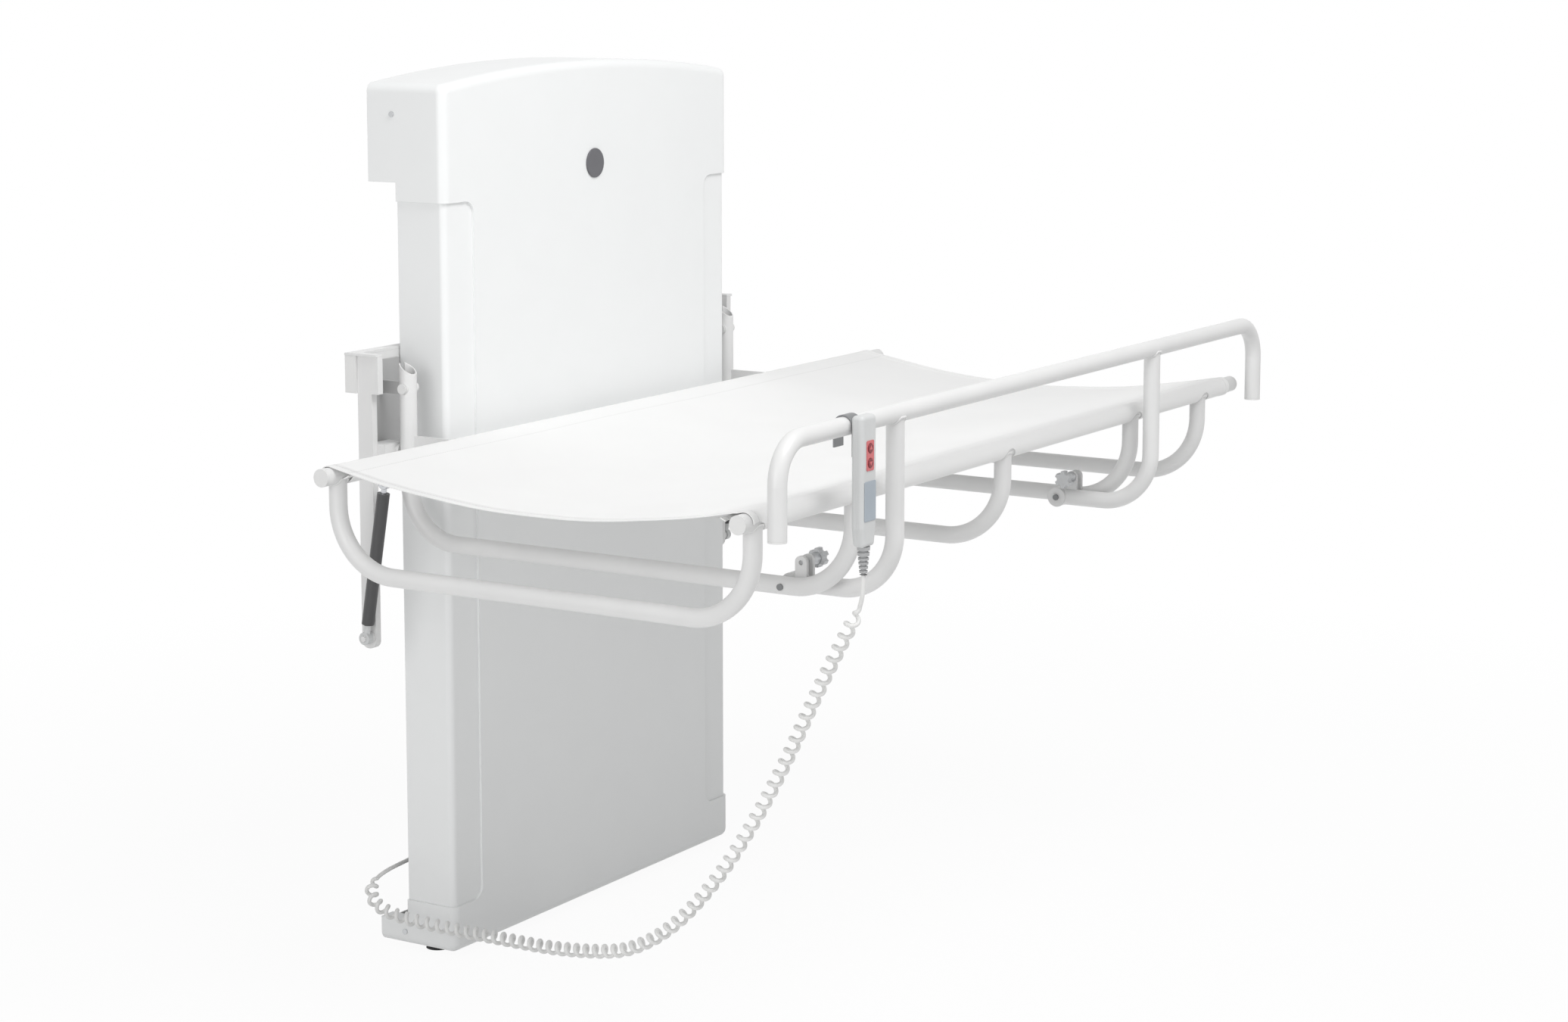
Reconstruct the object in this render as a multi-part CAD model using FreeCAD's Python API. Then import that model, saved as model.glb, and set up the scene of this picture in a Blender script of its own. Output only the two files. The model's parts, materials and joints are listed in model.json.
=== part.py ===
import FreeCAD, Part

import math
import os

# Wall-hung changing bench that rises, sinks and folds up, in millimetres.
# X runs along the wall, Y is zero at the wall and falls towards the room, Z rises from the floor.

Vector = FreeCAD.Vector

# Casing
CASING_WIDTH = 900.0
CASING_DEPTH = 165.0
CASING_EDGE_TOP = 1548.0
ARCH_RISE = 30.0
CASING_SKIN = 4.5
CASING_ROUNDING = 16.0
WALL_GAP = 60.0
TOP_EAR_HEIGHT = 170.0
BOTTOM_EAR_HEIGHT = 44.0
PANEL_FRONT_WIDTH = 84.0
PANEL_BOTTOM = 96.0
PANEL_TOP = 1345.0
PANEL_ROUNDING = 22.0
PANEL_INSET = 4.5
PANEL_SEAM = 0.3
PANEL_SKIN = 3.0
PANEL_LIP = 12.0
PANEL_LIP_SKIN = 2.0
BADGE_DIAMETER = 54.0
BADGE_THICKNESS = 3.0
BADGE_HEIGHT = 1390.0
FOOT_HEIGHT = 12.0
FOOT_DIAMETER = 44.0
FOOT_FROM_SIDE = 50.0
FOOT_FROM_WALL = 89.0
FOOT_TAPER = 3.0

# Wall plate and the pieces on it
PLATE_FROM_SIDE = 100.0
PLATE_TOP = 1520.0
PLATE_THICKNESS = 3.0
PLATE_CLEARANCE = 1.0
WALL_HOLE_DIAMETER = 12.0
WALL_HOLE_SPACING_X = 640.0
WALL_HOLE_SPACING_Z = 1200.0
WALL_HOLE_CENTRE_Z = 800.0
TAB_WIDTH = 28.0
TAB_THICKNESS = 3.0
SCREW_DIAMETER = 5.0
SCREW_HEAD_DIAMETER = 10.0
SCREW_HEAD_HEIGHT = 2.5
SCREW_LENGTH = 12.0
SCREW_FROM_WALL = 54.0
TOP_SCREW_HEIGHT = 1496.0
BOTTOM_SCREW_HEIGHT = 36.0

# Guides and lifting actuator
GUIDE_DIAMETER = 25.0
GUIDE_SPACING = 500.0
GUIDE_FROM_WALL = 95.0
GUIDE_BOTTOM = 60.0
GUIDE_TOP = 1440.0
GUIDE_BLOCK_SIZE = 54.0
GUIDE_BLOCK_HEIGHT = 40.0
RUNNING_CLEARANCE = 0.05
ACTUATOR_TUBE_DIAMETER = 50.0
ACTUATOR_TUBE_BORE = 40.0
ACTUATOR_TUBE_TOP = 700.0
ACTUATOR_GLAND = 25.0
ACTUATOR_ROD_DIAMETER = 28.0
ACTUATOR_ROD_BOTTOM = 560.0
MOTOR_WIDTH = 130.0
MOTOR_DEPTH = 70.0
MOTOR_BOTTOM = 50.0
MOTOR_HEIGHT = 78.0
CONTROL_BOX_WIDTH = 140.0
CONTROL_BOX_DEPTH = 62.0
CONTROL_BOX_HEIGHT = 210.0
CONTROL_BOX_ABOVE_MOTOR = 22.0
CONTROL_BOX_LEFT = 90.0
CONTROL_BOX_ROUNDING = 4.0

# Carriage
CARRIAGE_PLATE_WIDTH = 580.0
CARRIAGE_PLATE_THICKNESS = 8.0
CARRIAGE_PLATE_BOTTOM = 940.0
CARRIAGE_PLATE_TOP = 1120.0
ROD_LUG_HEIGHT = 30.0
ROD_LUG_WIDTH = 60.0
BUSHING_HEIGHT = 55.0
BEAM_PAST_HANGER = 1.0
BEAM_BOTTOM = 1023.0
BEAM_HEIGHT = 65.0
BEAM_DEPTH = 24.0
BEAM_WALL = 3.0
BEAM_CASING_CLEARANCE = 2.0
BEAM_CAP_OVERHANG = 4.0
BEAM_CAP_THICKNESS = 4.0
HANGER_FROM_ARM = 40.0
HANGER_WIDTH = 14.0
HANGER_DEPTH = 30.0
HANGER_HEAD_DEPTH = 44.0
HANGER_BOTTOM = 577.0
BRACKET_THICKNESS = 6.0
BRACKET_BELOW_HINGE = 120.0
BRACKET_ABOVE_HINGE = 45.0
TONGUE_THICKNESS = 10.0
TONGUE_RADIUS = 11.0
TONGUE_CLEARANCE = 1.0
HINGE_FROM_WALL = 125.0
HINGE_HEIGHT = 1030.0
HINGE_PIN_DIAMETER = 12.0
HINGE_SLEEVE_DIAMETER = 20.0
SLEEVE_PROUD = 1.0
HINGE_HEAD_DIAMETER = 18.0
HINGE_HEAD_THICKNESS = 2.5
STOP_BELOW_HINGE = 110.0
STOP_BLOCK_HEIGHT = 30.0
STOP_BLOCK_DEPTH = 34.0
STOP_PAD_DIAMETER = 24.0
STOP_PAD_THICKNESS = 6.0
REST_CLEARANCE = 0.3

# Stretcher frame
TUBE_DIAMETER = 30.0
TUBE_WALL = 2.5
SADDLE_SETBACK = 5.0
WELD_GAP = 0.1
FRAME_HEIGHT = 930.0
REAR_TUBE_FROM_WALL = 214.0
FRAME_WIDTH = 800.0
END_TUBE_FROM_ARM = 299.0
LEFT_OVERHANG = 40.0
RIGHT_OVERHANG = 150.0
CROSS_TUBE_DROP = 160.0
CROSS_TUBE_BEND = 110.0
ARM_FROM_CASING = 56.0
ARM_DROP = 164.0
ARM_REAR_BEND = 100.0
ARM_FRONT_BEND = 110.0
ARM_ABOVE_HINGE = 45.0
TIE_THICKNESS = 6.0
TIE_HEIGHT = 36.0
PLUG_FLANGE = 3.0
PLUG_SPIGOT = 15.0
SHEET_THICKNESS = 2.0
SHEET_SAG = 43.0
SHEET_LEFT_MARGIN = 16.0
SHEET_RIGHT_MARGIN = 40.0
SHEET_CLEARANCE = 0.3
SHEET_NOTCH = 46.0

# Gas springs
SPRING_PIN_HEIGHT = 598.0
SPRING_PIN_FORWARD = 20.0
SPRING_LUG_DROP = 155.0
SPRING_BARREL_DIAMETER = 22.0
SPRING_BARREL_BORE = 18.0
SPRING_BARREL_LENGTH = 236.0
SPRING_FOOT_LENGTH = 26.0
SPRING_ROD_DIAMETER = 10.0
SPRING_EYE_DIAMETER = 22.0
SPRING_EYE_WIDTH = 12.0
SPRING_PIN_DIAMETER = 10.0
SPRING_SIDE_GAP = 3.0
SPRING_COLLAR_DIAMETER = 18.0
SPRING_GLAND = 14.0
SPRING_PISTON = 12.0

# Side rail
RAIL_FROM_FRONT_TUBE = 57.0
RAIL_ABOVE_FRAME = 126.0
RAIL_END_INSET = 18.0
RAIL_END_BEND = 65.0
RAIL_END_DROP = 147.0
POST_BEND = 95.0
POST_SIDE_GAP = 2.0
PIVOT_FROM_FRONT_TUBE = 127.0
PIVOT_BOLT_DIAMETER = 8.0
PIVOT_EYE_DIAMETER = 36.0
BOLT_HEAD_DIAMETER = 11.0
BOLT_HEAD_THICKNESS = 3.0
LATCH_FORWARD = 24.0
LATCH_RISE = 38.0
LATCH_PLATE_THICKNESS = 6.0
LATCH_PLATE_WIDTH = 22.0
LATCH_PLATE_ABOVE = 11.0
LATCH_PIN_DIAMETER = 8.0
LATCH_HOUSING_DIAMETER = 20.0
LATCH_HOUSING_LENGTH = 22.0
LATCH_TRAVEL = 10.0
KNOB_DIAMETER = 32.0
KNOB_THICKNESS = 14.0
KNOB_LOBES = 6
KNOB_GROOVE_DIAMETER = 9.0

# Handset
HANDSET_X = -622.0
HANDSET_WIDTH = 44.0
HANDSET_DEPTH = 22.0
HANDSET_ABOVE_RAIL = 19.0
HANDSET_LENGTH = 205.0
HANDSET_ROUNDING = 7.0
HANDSET_SKIN = 2.0
HOOK_THICKNESS = 2.5
HOOK_WIDTH = 28.0
HOOK_CLEARANCE = 0.5
HOOK_FRONT_LEG = 46.0
HOOK_BACK_LEG = 34.0
BUTTON_DIAMETER = 15.0
BUTTON_HEIGHT = 4.0
BUTTON_TRAVEL = 1.2
BUTTON_STEM_DIAMETER = 6.0
BUTTON_CLEARANCE = 0.3
UP_BUTTON_FROM_TOP = 51.0
DOWN_BUTTON_FROM_TOP = 74.0
WINDOW_WIDTH = 22.0
PAD_WIDTH = 34.0
LABEL_THICKNESS = 0.8
LABEL_MARGIN = 4.5
LABEL_ROUNDING = 3.0
HANDSET_TAPER = 5.0
HANDSET_TAPER_HEIGHT = 30.0
PAD_HEIGHT = 62.0
PAD_FROM_BOTTOM = 41.0
BOARD_THICKNESS = 1.6
RELIEF_LENGTH = 44.0
RELIEF_TOP_DIAMETER = 21.0
RELIEF_END_DIAMETER = 12.0

# Cord
CORD_DIAMETER = 7.2
CURL_OUTER_DIAMETER = 25.0
CURL_COUNT = 65
CURL_GROWTH = 1.5
CURL_LOOSENESS = 1.1
GLAND_DIAMETER = 14.0
GLAND_LENGTH = 20.0
GLAND_FROM_SIDE = 66.0
GLAND_FROM_WALL = 31.0
GLAND_HEIGHT = 156.0

# Middle line of the curly cord, from the handset's lead to the gland behind the casing
CURL_ROUTE = [
    (-621, -1094, 776),
    (-616, -1058, 728),
    (-601, -979, 612),
    (-585, -913, 501),
    (-576, -844, 382),
    (-573, -781, 273),
    (-568, -705, 183),
    (-556, -618, 127),
    (-545, -537, 107),
    (-531, -434, 92),
    (-518, -328, 86),
    (-510, -237, 82),
    (-515, -163, 84),
    (-527, -95, 92),
    (-530, -52, 106),
    (-520, -32, 126),
    (-494, -28, 148),
]

# Sizes that follow from those above
HALF_WIDTH = CASING_WIDTH / 2
PLATE_HALF = HALF_WIDTH - PLATE_FROM_SIDE
ARM_X = HALF_WIDTH + ARM_FROM_CASING
CASING_FRONT = -CASING_DEPTH
TUBE_RADIUS = TUBE_DIAMETER / 2
REAR_Y = -REAR_TUBE_FROM_WALL
FRONT_Y = REAR_Y - FRAME_WIDTH
END_TUBE_X = ARM_X + END_TUBE_FROM_ARM
FRAME_LEFT = -END_TUBE_X - LEFT_OVERHANG
FRAME_RIGHT = END_TUBE_X + RIGHT_OVERHANG
SADDLE_Z = FRAME_HEIGHT - SADDLE_SETBACK
CROSS_Z = FRAME_HEIGHT - CROSS_TUBE_DROP
ARM_Z = FRAME_HEIGHT - ARM_DROP
ARM_TOP = HINGE_HEIGHT + ARM_ABOVE_HINGE
HINGE_Y = -HINGE_FROM_WALL
STOP_HEIGHT = HINGE_HEIGHT - STOP_BELOW_HINGE
GUIDE_Y = -GUIDE_FROM_WALL
MOTOR_TOP = MOTOR_BOTTOM + MOTOR_HEIGHT
BEAM_FRONT = -WALL_GAP + BEAM_CASING_CLEARANCE
BEAM_BACK = BEAM_FRONT + BEAM_DEPTH
BEAM_TOP = BEAM_BOTTOM + BEAM_HEIGHT
CARRIAGE_FRONT = BEAM_FRONT - CARRIAGE_PLATE_THICKNESS
HANGER_INNER_X = ARM_X + HANGER_FROM_ARM
HANGER_OUTER_X = HANGER_INNER_X + HANGER_WIDTH
BEAM_HALF = HANGER_OUTER_X + BEAM_PAST_HANGER
SPRING_X = HANGER_OUTER_X + SPRING_SIDE_GAP + SPRING_BARREL_DIAMETER / 2
SPRING_FOOT = Vector(0, BEAM_FRONT - SPRING_PIN_FORWARD, SPRING_PIN_HEIGHT)
SPRING_HEAD = Vector(0, HINGE_Y, HINGE_HEIGHT - SPRING_LUG_DROP)
RAIL_Y = FRONT_Y - RAIL_FROM_FRONT_TUBE
RAIL_HEIGHT = FRAME_HEIGHT + RAIL_ABOVE_FRAME
PIVOT_Y = FRONT_Y + PIVOT_FROM_FRONT_TUBE
POST_X = ARM_X - TUBE_DIAMETER - POST_SIDE_GAP
LATCH_Y = PIVOT_Y - LATCH_FORWARD
LATCH_LUG_FACE = ARM_X - TUBE_RADIUS - WELD_GAP
LATCH_Z = ARM_Z + LATCH_RISE
HANDSET_BACK = RAIL_Y - TUBE_RADIUS - HOOK_CLEARANCE - HOOK_THICKNESS
HANDSET_FRONT = HANDSET_BACK - HANDSET_DEPTH
HANDSET_MIDDLE = (HANDSET_BACK + HANDSET_FRONT) / 2
HANDSET_TOP = RAIL_HEIGHT + HANDSET_ABOVE_RAIL
HANDSET_BOTTOM = HANDSET_TOP - HANDSET_LENGTH
SHEET_LEFT = FRAME_LEFT + SHEET_LEFT_MARGIN
SHEET_RIGHT = FRAME_RIGHT - SHEET_RIGHT_MARGIN
CONTROL_BOX_BOTTOM = MOTOR_TOP + CONTROL_BOX_ABOVE_MOTOR

ALONG_X = Vector(1, 0, 0)
ALONG_Y = Vector(0, 1, 0)
ALONG_Z = Vector(0, 0, 1)
SIDES = {"left": -1, "right": 1}


# Basic shapes

def block(x0, x1, y0, y1, z0, z1):
    low = Vector(min(x0, x1), min(y0, y1), min(z0, z1))
    return Part.makeBox(abs(x1 - x0), abs(y1 - y0), abs(z1 - z0), low)


def round_bar(start, direction, diameter, length):
    return Part.makeCylinder(diameter / 2, length, start, direction)


def across(x0, x1, y, z, diameter):
    """Round bar along X between two places."""
    return round_bar(Vector(min(x0, x1), y, z), ALONG_X, diameter, abs(x1 - x0))


def joined(shapes):
    whole = shapes[0]
    for shape in shapes[1:]:
        whole = whole.fuse(shape)
    return whole.removeSplitter()


def arc_from(start, tangent, end):
    """Arc that leaves start along tangent and reaches end."""
    chord = end - start
    along = Vector(chord).normalize()
    away = tangent - along * tangent.dot(along)
    if away.Length < 1e-7:
        return Part.LineSegment(start, end).toShape()
    angle = tangent.getAngle(along)
    middle = (start + end) * 0.5 + away.normalize() * (chord.Length / 2 * math.tan(angle / 2))
    return Part.Arc(start, middle, end).toShape()


def disc(centre, direction, radius):
    return Part.Face(Part.Wire(Part.Circle(centre, direction, radius).toShape()))


def ring(centre, direction):
    """Flat ring with a tube's section."""
    outer = disc(centre, direction, TUBE_RADIUS)
    return outer.cut(disc(centre, direction, TUBE_RADIUS - TUBE_WALL)).Faces[0]


def bent_tube(points, bends):
    """Tube of straight runs joined by tangent arcs with the given radius at each inner point."""
    pieces = []
    here = points[0]
    for before, corner, after, bend in zip(points, points[1:], points[2:], bends):
        coming = (corner - before).normalize()
        going = (after - corner).normalize()
        turn = coming.getAngle(going)
        start = corner - coming * (bend * math.tan(turn / 2))
        inward = (going - coming * going.dot(coming)).normalize()
        pieces.append(ring(here, coming).extrude(start - here))
        centre = start + inward * bend
        pieces.append(ring(start, coming).revolve(centre, coming.cross(going), math.degrees(turn)))
        here = corner + going * (bend * math.tan(turn / 2))
    pieces.append(ring(here, points[-1] - points[-2]).extrude(points[-1] - here))
    return joined(pieces)


def on_side(left_shape, side):
    """The left-hand shape itself, or its mirror image for the right."""
    if side < 0:
        return left_shape
    return left_shape.mirror(Vector(0, 0, 0), ALONG_X)


def on_both_sides(make):
    solids = []
    for side in SIDES.values():
        solids += make(side).Solids
    return Part.makeCompound(solids)


def save(name, shape):
    if not shape.isValid():
        raise ValueError(name + " is not a valid solid")
    shape.exportStep("parts/" + name + ".step")
    print(name, len(shape.Solids), round(shape.Volume / 1000, 1), "cm3")


# Casing

def casing_body(inset):
    """Closed body of the casing, drawn in by inset on every side but the wall's."""
    half = HALF_WIDTH - inset
    bottom = FOOT_HEIGHT + inset
    top = CASING_EDGE_TOP - inset
    crown = Vector(0, 0, top + ARCH_RISE)
    corners = [Vector(-half, 0, bottom), Vector(half, 0, bottom), Vector(half, 0, top), Vector(-half, 0, top)]
    edges = [Part.LineSegment(corners[i], corners[i + 1]).toShape() for i in (0, 1)]
    edges.append(Part.Arc(corners[2], crown, corners[3]).toShape())
    edges.append(Part.LineSegment(corners[3], corners[0]).toShape())
    solid = Part.Face(Part.Wire(edges)).extrude(Vector(0, CASING_FRONT + inset, 0))
    rounded = [edge for edge in solid.Edges if edge.BoundBox.YMin < -1]
    return solid.makeFillet(CASING_ROUNDING - inset, rounded)


def panel_outline(side, grow):
    """Prism through the casing with the outline of one corner panel, grown by a margin."""
    inner = HALF_WIDTH - PANEL_FRONT_WIDTH - grow
    outer = HALF_WIDTH + CASING_SKIN
    solid = block(side * inner, side * outer, CASING_FRONT - 1, CASING_SKIN,
                  PANEL_BOTTOM - grow, PANEL_TOP + grow)
    corners = [edge for edge in solid.Edges
               if edge.BoundBox.YLength > CASING_DEPTH and abs(edge.CenterOfMass.x - side * inner) < 1]
    return solid.makeFillet(PANEL_ROUNDING + grow, corners)


def in_front_of_gap(shape):
    return shape.cut(block(-CASING_WIDTH, CASING_WIDTH, -WALL_GAP, CASING_SKIN, 0, 2 * CASING_EDGE_TOP))


def casing_screws():
    """Places of the four screws through the ears, with the side each one is on."""
    places = []
    for side in SIDES.values():
        for height in (TOP_SCREW_HEIGHT, BOTTOM_SCREW_HEIGHT):
            places.append((side, Vector(side * HALF_WIDTH, -SCREW_FROM_WALL, height)))
    return places


def front_cover():
    """Shell open to the wall, with closed ears at its corners and cut-outs for the corner panels."""
    shell = casing_body(0).cut(casing_body(CASING_SKIN))
    room = PLATE_HALF + PLATE_CLEARANCE
    shell = shell.cut(block(-room, room, -PLATE_THICKNESS - PLATE_CLEARANCE, 1, 0,
                            FOOT_HEIGHT + CASING_ROUNDING))
    ear_top = FOOT_HEIGHT + BOTTOM_EAR_HEIGHT
    ear_bottom = CASING_EDGE_TOP - TOP_EAR_HEIGHT
    inner = HALF_WIDTH - 2 * CASING_ROUNDING
    for side in SIDES.values():
        shell = shell.cut(block(side * inner, side * (HALF_WIDTH + 1), -WALL_GAP, 1, ear_top, ear_bottom))
        shell = shell.cut(panel_outline(side, 0))
        for low, high in ((ear_top - CASING_SKIN, ear_top), (ear_bottom, ear_bottom + CASING_SKIN)):
            shell = shell.fuse(block(side * inner, side * HALF_WIDTH, -WALL_GAP, 0, low, high))
    for side, place in casing_screws():
        shell = shell.cut(round_bar(place, Vector(-side, 0, 0), SCREW_DIAMETER, SCREW_LENGTH))
    return shell.removeSplitter()


def corner_panel(side):
    skin = casing_body(PANEL_INSET).cut(casing_body(PANEL_INSET + PANEL_SKIN))
    skin = skin.common(panel_outline(side, -PANEL_SEAM))
    lip = casing_body(CASING_SKIN).cut(casing_body(CASING_SKIN + PANEL_LIP_SKIN))
    lip = lip.common(panel_outline(side, PANEL_LIP))
    return in_front_of_gap(skin.fuse(lip).removeSplitter())


def badge():
    start = Vector(0, CASING_FRONT, BADGE_HEIGHT)
    plate = round_bar(start, Vector(0, -1, 0), BADGE_DIAMETER, BADGE_THICKNESS)
    front = CASING_FRONT - BADGE_THICKNESS
    rim = [edge for edge in plate.Edges if abs(edge.CenterOfMass.y - front) < 0.01]
    return plate.makeFillet(BADGE_THICKNESS / 2, rim)


def feet():
    shapes = []
    radius = FOOT_DIAMETER / 2
    for side in SIDES.values():
        start = Vector(side * (HALF_WIDTH - FOOT_FROM_SIDE), -FOOT_FROM_WALL, 0)
        shapes.append(Part.makeCone(radius, radius - FOOT_TAPER, FOOT_HEIGHT, start, ALONG_Z))
    return Part.makeCompound(shapes)


def cover_screws():
    shapes = []
    for side, place in casing_screws():
        shank = round_bar(place, Vector(-side, 0, 0), SCREW_DIAMETER, SCREW_LENGTH)
        head = round_bar(place, Vector(side, 0, 0), SCREW_HEAD_DIAMETER, SCREW_HEAD_HEIGHT)
        shapes.append(joined([shank, head]))
    return Part.makeCompound(shapes)


# Wall plate, guides and actuator

def wall_plate():
    plate = block(-PLATE_HALF, PLATE_HALF, -PLATE_THICKNESS, 0, 0, PLATE_TOP)
    shapes = [plate]
    tab_outer = HALF_WIDTH - CASING_SKIN
    for side, place in casing_screws():
        low = place.z - TAB_WIDTH / 2
        if low < FOOT_HEIGHT + CASING_ROUNDING:
            low = FOOT_HEIGHT + CASING_ROUNDING
        high = place.z + TAB_WIDTH / 2
        ear = block(side * tab_outer, side * (tab_outer - TAB_THICKNESS),
                    -SCREW_FROM_WALL - TAB_WIDTH / 2, -PLATE_THICKNESS, low, high)
        web = block(side * tab_outer, side * (PLATE_HALF - TAB_WIDTH), -PLATE_THICKNESS - TAB_THICKNESS,
                    -PLATE_THICKNESS, low, high)
        shapes += [ear, web]
    whole = joined(shapes)
    for side, place in casing_screws():
        whole = whole.cut(round_bar(place, Vector(-side, 0, 0), SCREW_DIAMETER, SCREW_LENGTH))
    for side in SIDES.values():
        for offset in (-WALL_HOLE_SPACING_Z / 2, WALL_HOLE_SPACING_Z / 2):
            place = Vector(side * WALL_HOLE_SPACING_X / 2, -PLATE_THICKNESS, WALL_HOLE_CENTRE_Z + offset)
            whole = whole.cut(round_bar(place, ALONG_Y, WALL_HOLE_DIAMETER, PLATE_THICKNESS))
    return whole


def guide_shaft(side):
    start = Vector(side * GUIDE_SPACING / 2, GUIDE_Y, GUIDE_BOTTOM)
    return round_bar(start, ALONG_Z, GUIDE_DIAMETER, GUIDE_TOP - GUIDE_BOTTOM)


def guide_supports(side):
    x = side * GUIDE_SPACING / 2
    half = GUIDE_BLOCK_SIZE / 2
    shapes = []
    for bottom in (GUIDE_BOTTOM, GUIDE_TOP - GUIDE_BLOCK_HEIGHT):
        solid = block(x - half, x + half, GUIDE_Y - half, -PLATE_THICKNESS, bottom,
                      bottom + GUIDE_BLOCK_HEIGHT)
        shapes.append(solid.cut(guide_shaft(side)))
    return Part.makeCompound(shapes)


def actuator_tube():
    start = Vector(0, GUIDE_Y, MOTOR_TOP)
    length = ACTUATOR_TUBE_TOP - MOTOR_TOP
    tube = round_bar(start, ALONG_Z, ACTUATOR_TUBE_DIAMETER, length)
    tube = tube.cut(round_bar(start, ALONG_Z, ACTUATOR_TUBE_BORE, length - ACTUATOR_GLAND))
    return tube.cut(round_bar(start, ALONG_Z, ACTUATOR_ROD_DIAMETER + 2 * RUNNING_CLEARANCE, length))


def actuator_motor():
    half = ACTUATOR_TUBE_DIAMETER / 2
    body = block(-half, MOTOR_WIDTH - half, GUIDE_Y - MOTOR_DEPTH / 2, GUIDE_Y + MOTOR_DEPTH / 2,
                 MOTOR_BOTTOM, MOTOR_TOP)
    upright = [edge for edge in body.Edges if edge.BoundBox.ZLength > 1]
    return body.makeFillet(half / 2, upright)


def actuator_foot():
    half = ACTUATOR_TUBE_DIAMETER / 2
    return block(-half, half, GUIDE_Y + MOTOR_DEPTH / 2, -PLATE_THICKNESS, MOTOR_BOTTOM, MOTOR_TOP)


def control_box():
    box = block(CONTROL_BOX_LEFT, CONTROL_BOX_LEFT + CONTROL_BOX_WIDTH, -PLATE_THICKNESS - CONTROL_BOX_DEPTH,
                -PLATE_THICKNESS, CONTROL_BOX_BOTTOM, CONTROL_BOX_BOTTOM + CONTROL_BOX_HEIGHT)
    rounded = [edge for edge in box.Edges if edge.BoundBox.YMax < -PLATE_THICKNESS - 1]
    return box.makeFillet(CONTROL_BOX_ROUNDING, rounded)


def cord_end():
    """Where the cord goes into its gland."""
    return Vector(GLAND_FROM_SIDE - HALF_WIDTH, -GLAND_FROM_WALL, GLAND_HEIGHT)


def cord_gland():
    end = cord_end()
    body = round_bar(end, ALONG_X, GLAND_DIAMETER, GLAND_LENGTH)
    half = GLAND_DIAMETER / 2
    bracket = block(end.x + GLAND_LENGTH / 2, end.x + GLAND_LENGTH, end.y, -PLATE_THICKNESS,
                    end.z - half, end.z + half)
    strip = block(end.x + GLAND_LENGTH / 2, TAB_WIDTH - PLATE_HALF, -PLATE_THICKNESS - TAB_THICKNESS,
                  -PLATE_THICKNESS, end.z - half, end.z + half)
    return joined([body, bracket, strip])


# Carriage

def actuator_rod():
    start = Vector(0, GUIDE_Y, ACTUATOR_ROD_BOTTOM)
    length = CARRIAGE_PLATE_TOP - ROD_LUG_HEIGHT - ACTUATOR_ROD_BOTTOM
    return round_bar(start, ALONG_Z, ACTUATOR_ROD_DIAMETER, length)


def carriage_plate():
    half = CARRIAGE_PLATE_WIDTH / 2
    plate = block(-half, half, CARRIAGE_FRONT, BEAM_FRONT, CARRIAGE_PLATE_BOTTOM, CARRIAGE_PLATE_TOP)
    lug = block(-ROD_LUG_WIDTH / 2, ROD_LUG_WIDTH / 2, GUIDE_Y - ACTUATOR_ROD_DIAMETER, CARRIAGE_FRONT,
                CARRIAGE_PLATE_TOP - ROD_LUG_HEIGHT, CARRIAGE_PLATE_TOP)
    return joined([plate, lug])


def guide_bushings(side):
    x = side * GUIDE_SPACING / 2
    half = GUIDE_BLOCK_SIZE / 2
    bore = round_bar(Vector(x, GUIDE_Y, 0), ALONG_Z, GUIDE_DIAMETER + 2 * RUNNING_CLEARANCE, GUIDE_TOP)
    shapes = []
    for bottom in (CARRIAGE_PLATE_BOTTOM, CARRIAGE_PLATE_TOP - BUSHING_HEIGHT):
        solid = block(x - half, x + half, GUIDE_Y - half, CARRIAGE_FRONT, bottom, bottom + BUSHING_HEIGHT)
        shapes.append(solid.cut(bore))
    return Part.makeCompound(shapes)


def lift_beam():
    half = BEAM_HALF
    outside = block(-half, half, BEAM_FRONT, BEAM_BACK, BEAM_BOTTOM, BEAM_TOP)
    inside = block(-half, half, BEAM_FRONT + BEAM_WALL, BEAM_BACK - BEAM_WALL,
                   BEAM_BOTTOM + BEAM_WALL, BEAM_TOP - BEAM_WALL)
    return outside.cut(inside)


def beam_cap():
    """Strip along the beam's top that also covers the hangers' heads."""
    half = BEAM_HALF + BEAM_CAP_OVERHANG
    top = BEAM_TOP + BEAM_CAP_THICKNESS
    shapes = [block(-half, half, BEAM_FRONT, BEAM_BACK, BEAM_TOP, top)]
    for side in SIDES.values():
        shapes.append(block(side * HANGER_INNER_X, side * half, BEAM_FRONT - HANGER_HEAD_DEPTH, BEAM_FRONT,
                            BEAM_TOP, top))
    return joined(shapes)


def beam_end_plugs():
    shapes = []
    for side in SIDES.values():
        end = side * BEAM_HALF
        flange = block(end, end + side * PLUG_FLANGE, BEAM_FRONT, BEAM_BACK, BEAM_BOTTOM, BEAM_TOP)
        spigot = block(end, end - side * PLUG_SPIGOT, BEAM_FRONT + BEAM_WALL, BEAM_BACK - BEAM_WALL,
                       BEAM_BOTTOM + BEAM_WALL, BEAM_TOP - BEAM_WALL)
        shapes.append(joined([flange, spigot]))
    return Part.makeCompound(shapes)


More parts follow.
